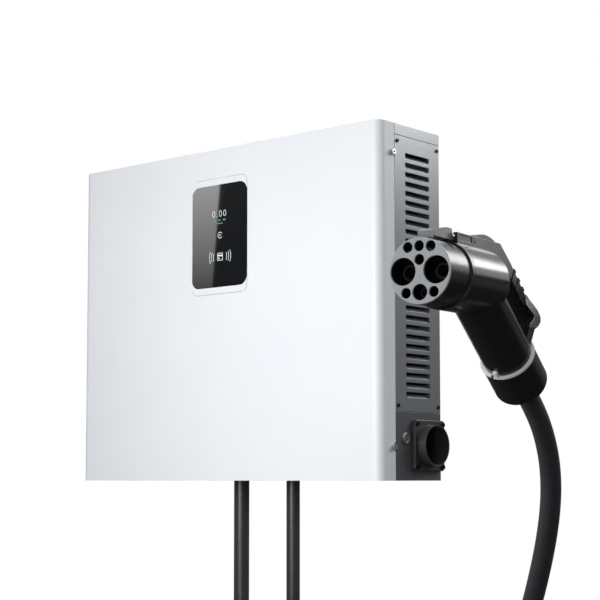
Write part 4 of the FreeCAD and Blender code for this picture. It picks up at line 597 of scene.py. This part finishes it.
@dataclass
class DisplayPicture:
    """Lit picture on the display glass: a reading, a bar, a ring and a card sign with waves."""

    paint: Paint
    front_y: float = -0.18284
    line: float = 0.0011
    figures: str = "0.00"
    figures_at: Pair = (0.0002, 0.1805)
    figures_size: float = 0.0176
    figures_spacing: float = 1.22
    figures_thinner: float = 0.00028
    units_at: Pair = (0.0002, 0.1692)
    unit_step: float = 0.0125
    unit_lengths: tuple[float, ...] = (0.0085, 0.0060, 0.0070)
    unit_height: float = 0.0026
    bar_at: Pair = (0.0004, 0.1634)
    bar_size: Pair = (0.0167, 0.0022)
    ring_at: Pair = (0.0026, 0.1418)
    ring_radius: float = 0.0053
    ring_gap_deg: float = 60.0
    card_at: Pair = (0.0026, 0.1025)
    card_size: Pair = (0.0135, 0.0138)
    stripe_share: Pair = (0.16, 0.2)
    chip_at_share: Pair = (-0.2, -0.2)
    chip_size_share: Pair = (0.28, 0.18)
    wave_radii: tuple[float, ...] = (0.0165, 0.0215, 0.0265)
    wave_sweep_deg: float = 48.0
    arc_step_deg: float = 7.0

    def band(self, mesh: bmesh.types.BMesh, radius: float, start: float, sweep: float) -> None:
        """Spin a flat arc of one line's width.

        Args:
            mesh: Mesh that takes it.
            radius: Middle radius in metres.
            start: First angle in degrees, from +x.
            sweep: Angle that it covers.
        """
        turn = Matrix.Rotation(math.radians(start), 4, "Z")
        ends = [mesh.verts.new(turn @ Vector((radius + side * self.line / 2, 0.0, 0.0)))
                for side in (-1, 1)]
        bmesh.ops.spin(mesh, geom=[*ends, mesh.edges.new(ends)], axis=(0.0, 0.0, 1.0),
                       angle=math.radians(sweep), steps=max(8, int(sweep / self.arc_step_deg)))

    def slab(self, mesh: bmesh.types.BMesh, at: Pair, size: Pair) -> None:
        """Add a flat rectangle.

        Args:
            mesh: Mesh that takes it.
            at: Its centre.
            size: Its width and height.
        """
        made = bmesh.ops.create_grid(mesh, x_segments=1, y_segments=1, size=0.5)
        bmesh.ops.scale(mesh, verts=made["verts"], vec=(*size, 1.0))
        bmesh.ops.translate(mesh, verts=made["verts"], vec=(*at, 0.0))

    def hang(self, mesh: bmesh.types.BMesh, at: Pair, name: str, finish: Finish) -> None:
        """Stand a flat mesh up on the glass and let it ride on the station.

        Args:
            mesh: Mesh drawn flat around its own centre.
            at: Its x and z on the glass.
            name: Name of the piece.
            finish: Its finish.
        """
        stand = Matrix.Rotation(math.pi / 2, 4, "X")
        move = Matrix.Translation((at[0], self.front_y, at[1]))
        bmesh.ops.transform(mesh, matrix=move @ stand, verts=mesh.verts)
        bmesh.ops.recalc_face_normals(mesh, faces=mesh.faces)
        piece = to_object(mesh, name)
        self.paint.put(piece, finish)
        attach(piece, "station")
        LOG.info("made %s", name)

    def reading(self) -> None:
        """Set the figures in plain type."""
        curve = bpy.data.curves.new("reading_type", "FONT")
        curve.body = self.figures
        curve.size = self.figures_size
        curve.space_character = self.figures_spacing
        curve.align_x = "CENTER"
        curve.align_y = "CENTER"
        curve.resolution_u = 3
        curve.offset = -self.figures_thinner
        holder = bpy.data.objects.new("reading_type", curve)
        bpy.context.scene.collection.objects.link(holder)
        bpy.context.view_layer.update()
        mesh = bmesh.new()
        mesh.from_mesh(bpy.data.meshes.new_from_object(holder))
        bpy.data.objects.remove(holder)
        self.hang(mesh, self.figures_at, "display_reading", Finish.LIT_WHITE)

    def units(self) -> None:
        """Draw the small words under the reading as short bars."""
        mesh = bmesh.new()
        for k, length in enumerate(self.unit_lengths):
            self.slab(mesh, ((k - 1) * self.unit_step, 0.0), (length, self.unit_height))
        self.hang(mesh, self.units_at, "display_units", Finish.LIT_GREY)

    def bar(self) -> None:
        """Draw the green bar."""
        mesh = bmesh.new()
        self.slab(mesh, (0.0, 0.0), self.bar_size)
        self.hang(mesh, self.bar_at, "display_bar", Finish.LIT_GREEN)

    def ring(self) -> None:
        """Draw the open ring and the short line from its centre."""
        mesh = bmesh.new()
        self.band(mesh, self.ring_radius, self.ring_gap_deg / 2, 360 - self.ring_gap_deg)
        self.slab(mesh, (0.0, 0.0), (self.ring_radius, self.line))
        self.hang(mesh, self.ring_at, "display_ring", Finish.LIT_WHITE)

    def card(self) -> None:
        """Draw a payment card: its outline, then a stripe and a chip by shares of its size."""
        mesh = bmesh.new()
        w, h = self.card_size
        t = self.line
        for side in (1, -1):
            self.slab(mesh, (0.0, side * (h - t) / 2), (w, t))
            self.slab(mesh, (side * (w - t) / 2, 0.0), (t, h - 2 * t))
        up, tall = self.stripe_share
        self.slab(mesh, (0.0, h * up), (w - 2 * t, h * tall))
        x, y = self.chip_at_share
        wide, high = self.chip_size_share
        self.slab(mesh, (w * x, h * y), (w * wide, h * high))
        self.hang(mesh, self.card_at, "display_card", Finish.LIT_WHITE)

    def waves(self) -> None:
        """Draw the waves on both sides of the card."""
        mesh = bmesh.new()
        for radius in self.wave_radii:
            for middle in (0.0, 180.0):
                self.band(mesh, radius, middle - self.wave_sweep_deg / 2, self.wave_sweep_deg)
        self.hang(mesh, self.card_at, "display_waves", Finish.LIT_WHITE)

    def build(self) -> None:
        """Build the whole picture."""
        self.reading()
        self.units()
        self.bar()
        self.ring()
        self.card()
        self.waves()


@dataclass
class Cables:
    """Supply cable and charging cable, each one smooth cord at its real length."""

    paint: Paint
    charge_d: float = 0.024
    charge_exit: Point = (0.103, -0.097, -0.284)
    charge_length: float = 4.83
    drop_heights: tuple[float, ...] = (-0.360, -0.480, -0.590)
    coil_radius: float = 0.120
    coil_turns: float = 4.25
    coil_pitch: float = 0.0246
    coil_heading_deg: float = -32.9
    coil_top: float = -0.640
    points_a_turn: int = 16
    supply_d: float = 0.028
    supply_exit: Point = (-0.022, -0.097, -0.284)
    supply_heights: tuple[float, ...] = (-0.42, -0.56, -0.690)
    supply_length: float = 0.406

    def cord_curve(self, name: str, points: list[Vector], diameter: float) -> bpy.types.Object:
        """Make a round cord on a smooth open spline that rides on the station.

        Args:
            name: Name of the piece.
            points: Control points from exit to end.
            diameter: Outside diameter in metres.

        Returns:
            The curve object.
        """
        curve = bpy.data.curves.new(name, "CURVE")
        curve.dimensions = "3D"
        curve.bevel_depth = diameter / 2
        curve.bevel_resolution = 6
        curve.use_fill_caps = True
        spline = curve.splines.new("NURBS")
        spline.points.add(len(points) - 1)
        for point, place in zip(spline.points, points):
            point.co = (*place, 1.0)
        spline.order_u = 3
        spline.use_endpoint_u = True
        spline.resolution_u = 8
        piece = bpy.data.objects.new(name, curve)
        bpy.context.scene.collection.objects.link(piece)
        self.paint.put(piece, Finish.JACKET)
        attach(piece, "station")
        LOG.info("laid %s", name)
        return piece

    def coil_points(self) -> list[Vector]:
        """Work out the turns of the tied coil.

        Returns:
            Points from its top left to its lowest point.
        """
        heading = math.radians(self.coil_heading_deg)
        along = Vector((math.cos(heading), math.sin(heading), 0))
        across = Vector((math.sin(heading), -math.cos(heading), 0))
        x, y, _ = self.charge_exit
        centre = Vector((x, y, self.coil_top)) + along * self.coil_radius
        radius = self.coil_radius / math.cos(math.pi / self.points_a_turn)
        points = []
        for k in range(int(self.coil_turns * self.points_a_turn) + 1):
            turn = k / self.points_a_turn
            angle = math.pi + 2 * math.pi * turn
            ring = along * math.cos(angle) + Vector((0, 0, 1)) * math.sin(angle)
            points.append(centre + ring * radius + across * (turn * self.coil_pitch))
        return points

    def charge_points(self) -> list[Vector]:
        """Give the charging cable's route.

        Returns:
            Points from its gland through the coil to the connector's boot.
        """
        x, y, _ = self.charge_exit
        drop = [Vector(self.charge_exit), *(Vector((x, y, z)) for z in self.drop_heights)]
        rise = [Vector(p) for p in (
            (0.260, -0.325, -0.770), (0.400, -0.392, -0.790), (0.535, -0.450, -0.775),
            (0.655, -0.500, -0.730), (0.755, -0.537, -0.660), (0.832, -0.562, -0.580),
            (0.890, -0.588, -0.497), (0.926, -0.608, -0.425), (0.950, -0.623, -0.368),
            (0.965, -0.636, -0.321), (0.9735, -0.651, -0.281), (0.9785, -0.671, -0.2475),
            (0.9830, -0.6952, -0.2221), (0.9880, -0.7226, -0.2027))]
        return drop + self.coil_points() + rise

    def charging_cord(self) -> None:
        """Lay the charging cable and hide the CAD nodes that it stands in for."""
        cord = self.cord_curve("charging_cord", self.charge_points(), self.charge_d)
        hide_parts(*CHARGING_CABLE_NODES)

    def supply_cord(self) -> None:
        """Lay the supply cable straight down to its bare cores."""
        x, y, _ = self.supply_exit
        points = [Vector(self.supply_exit), *(Vector((x, y, z)) for z in self.supply_heights)]
        cord = self.cord_curve("supply_cord", points, self.supply_d)
        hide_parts("supply_cable")

    def build(self) -> None:
        """Build both cords."""
        self.charging_cord()
        self.supply_cord()


@dataclass(frozen=True)
class Lamp:
    """Soft rectangular lamp that the camera doesn't see, in metres and watts."""

    name: str
    at: Point
    aim: Point
    size: Pair
    power: float
    tilt_deg: float = 0.0
    fades: bool = False

    def fade_down(self, data: bpy.types.Light) -> None:
        """Dim the lamp's panel evenly to nothing at its lower edge.

        Args:
            data: The lamp's data.
        """
        data.use_nodes = True
        tree = data.node_tree
        place = add_node(tree, "ShaderNodeTexCoord").outputs["UV"]
        part = add_node(tree, "ShaderNodeSeparateXYZ", inputs={"Vector": place})
        tree.links.new(part.outputs["Y"], tree.nodes["Emission"].inputs["Strength"])

    def build(self) -> None:
        """Hang the lamp and turn it to its aim."""
        data = bpy.data.lights.new(self.name, "AREA")
        data.shape = "RECTANGLE"
        data.size, data.size_y = self.size
        data.energy = self.power
        holder = bpy.data.objects.new(self.name, data)
        holder.visible_camera = False
        bpy.context.scene.collection.objects.link(holder)
        facing = (Vector(self.aim) - Vector(self.at)).to_track_quat("-Z", "Y").to_matrix()
        holder.matrix_world = (Matrix.Translation(self.at) @ facing.to_4x4()
                               @ Matrix.Rotation(math.radians(self.tilt_deg), 4, "Z"))
        if self.fades:
            self.fade_down(data)
        LOG.info("hung %s", self.name)


LAMPS = (
    # Soft light on the cover, brightest right of its middle
    Lamp("key", (0.22, -1.35, 0.0), (0.22, 0.0, -0.03), (0.45, 0.9), 11.7),
    # Upright strip that draws a long gleam on the handle and the cable
    Lamp("strip", (1.55, -2.6, -0.35), (0.9, -0.6, -0.35), (0.28, 1.6), 9.0),
    # Card that the display glass mirrors in its left half, fading downwards
    Lamp("glass_card", (-1.886, -1.774, 0.53), (-1.886, 0.0, 0.53), (0.7, 0.5), 7.3,
         tilt_deg=-5.5, fades=True),
    # Small card that lights the latch hook and the flank of the connector's top housing
    Lamp("housing_card", (1.175, -0.30, 0.03), (1.04, -0.85, -0.06), (0.14, 0.10), 0.06),
    # High card behind the station that the side panel picks up in its upper part
    Lamp("side_card", (1.95, 2.8, 1.8), (0.37, -0.07, 0.3), (2.2, 1.4), 68),
)


@dataclass
class Studio:
    """White backdrop, soft lamps and the camera of the photograph."""

    camera_at: Point = (1.9053, -2.1715, -0.2965)
    camera_pitch_deg: float = 94.5
    camera_yaw_deg: float = 40.73
    lens_mm: float = 92.2
    sensor_mm: float = 36.0
    shift_up: float = 0.0961
    sky_colour: str = "E9EDF3"
    fill_steps: tuple[Pair, ...] = ((-1.0, 0.05), (0.0, 0.12), (1.0, 0.60))
    gloss_steps: tuple[Pair, ...] = ((-0.3, 0.07), (0.15, 0.22), (0.7, 1.15))
    floor_z: float = -1.45
    floor_half: float = 8.0
    floor_colour: str = "6E7072"
    floor_in_gloss: float = 0.03
    flag_at: Point = (1.185, -0.05, 0.06)
    flag_size: Pair = (0.42, 0.30)
    flag_turn_deg: float = 60.0
    flag_colour: str = "050505"

    def camera(self) -> None:
        """Place the camera."""
        data = bpy.data.cameras.new("camera")
        data.lens = self.lens_mm
        data.sensor_width = self.sensor_mm
        data.shift_y = self.shift_up
        holder = bpy.data.objects.new("camera", data)
        bpy.context.scene.collection.objects.link(holder)
        holder.location = self.camera_at
        holder.rotation_euler = (math.radians(self.camera_pitch_deg), 0,
                                 math.radians(self.camera_yaw_deg))
        bpy.context.scene.camera = holder

    def sky(self, tree: Tree, level: Socket, steps: tuple[Pair, ...]) -> bpy.types.Node:
        """Make a background whose strength follows the height it is seen at.

        Args:
            tree: World's node tree.
            level: Height of the direction, from -1 below to 1 above.
            steps: Heights with their strengths, from low to high.

        Returns:
            The background node.
        """
        share = add_node(tree, "ShaderNodeMapRange", inputs={
            "Value": level, "From Min": -1.0, "From Max": 1.0})
        curve = add_node(tree, "ShaderNodeValToRGB", inputs={"Fac": share.outputs["Result"]})
        for _ in steps[2:]:
            curve.color_ramp.elements.new(1.0)
        for element, (height, strength) in zip(curve.color_ramp.elements, steps):
            element.position = (height + 1) / 2
            element.color = (strength, strength, strength, 1.0)
        return add_node(tree, "ShaderNodeBackground", inputs={
            "Color": linear(self.sky_colour), "Strength": curve.outputs["Color"]})

    def world(self) -> None:
        """White to the camera; a soft sky as light and a more contrasty one in gloss."""
        world = bpy.data.worlds.new("white_studio")
        bpy.context.scene.world = world
        world.use_nodes = True
        tree = world.node_tree
        tree.nodes.clear()
        path = add_node(tree, "ShaderNodeLightPath")
        direction = add_node(tree, "ShaderNodeTexCoord").outputs["Generated"]
        height = add_node(tree, "ShaderNodeSeparateXYZ", inputs={"Vector": direction})
        soft = self.sky(tree, height.outputs["Z"], self.fill_steps)
        gloss = self.sky(tree, height.outputs["Z"], self.gloss_steps)
        white = add_node(tree, "ShaderNodeBackground", inputs={
            "Color": (1, 1, 1, 1), "Strength": 1.0})
        light = add_node(tree, "ShaderNodeMixShader", inputs={
            0: path.outputs["Is Glossy Ray"], 1: soft.outputs[0], 2: gloss.outputs[0]})
        mix = add_node(tree, "ShaderNodeMixShader", inputs={
            0: path.outputs["Is Camera Ray"], 1: light.outputs[0], 2: white.outputs[0]})
        add_node(tree, "ShaderNodeOutputWorld", inputs={"Surface": mix.outputs[0]})
        LOG.info("lit the backdrop")

    def floor(self) -> None:
        """Lay a wide floor below the hanging cables: white to the camera, grey as light."""
        mesh = bmesh.new()
        bmesh.ops.create_grid(mesh, x_segments=1, y_segments=1, size=self.floor_half)
        bmesh.ops.translate(mesh, verts=mesh.verts, vec=(0, 0, self.floor_z))
        piece = to_object(mesh, "studio_floor")
        material, tree, shader = new_material("studio_white")
        path = add_node(tree, "ShaderNodeLightPath")
        glow = add_node(tree, "ShaderNodeEmission", inputs={"Color": (1, 1, 1, 1), "Strength": 1.0})
        shader.inputs["Base Color"].default_value = linear(self.floor_colour)
        shader.inputs["Roughness"].default_value = 0.9
        dark = add_node(tree, "ShaderNodeEmission", inputs={"Strength": self.floor_in_gloss})
        seen = add_node(tree, "ShaderNodeMixShader", inputs={
            0: path.outputs["Is Glossy Ray"], 1: shader.outputs[0], 2: dark.outputs[0]})
        mix = add_node(tree, "ShaderNodeMixShader", inputs={
            0: path.outputs["Is Camera Ray"], 1: seen.outputs[0], 2: glow.outputs[0]})
        tree.links.new(mix.outputs[0], tree.nodes["Material Output"].inputs["Surface"])
        piece.data.materials.append(material)
        LOG.info("laid studio_floor")

    def flag(self) -> None:
        """Hang an unseen black card that keeps the side card's glare off the rear arm."""
        mesh = bmesh.new()
        bmesh.ops.create_grid(mesh, x_segments=1, y_segments=1, size=0.5)
        bmesh.ops.scale(mesh, verts=mesh.verts, vec=(*self.flag_size, 1.0))
        turn = Matrix.Rotation(math.radians(self.flag_turn_deg), 4, "X")
        bmesh.ops.transform(mesh, matrix=Matrix.Translation(self.flag_at) @ turn, verts=mesh.verts)
        piece = to_object(mesh, "studio_flag")
        piece.visible_camera = False
        material, _, shader = new_material("studio_black")
        shader.inputs["Base Color"].default_value = linear(self.flag_colour)
        piece.data.materials.append(material)
        LOG.info("hung studio_flag")

    def build(self) -> None:
        """Set up camera, backdrop, floor, flag and lamps."""
        bpy.context.scene.view_settings.view_transform = "Standard"
        self.camera()
        self.world()
        self.floor()
        self.flag()
        for lamp in LAMPS:
            lamp.build()


def main() -> None:
    """Build the station's looks in order."""
    logging.basicConfig(level=logging.INFO, format="%(name)s: %(message)s")
    paint = Paint()
    paint.dress_nodes()
    Studio().build()
    Cables(paint).build()
    DisplayPicture(paint).build()


if __name__ == "__main__":
    main()
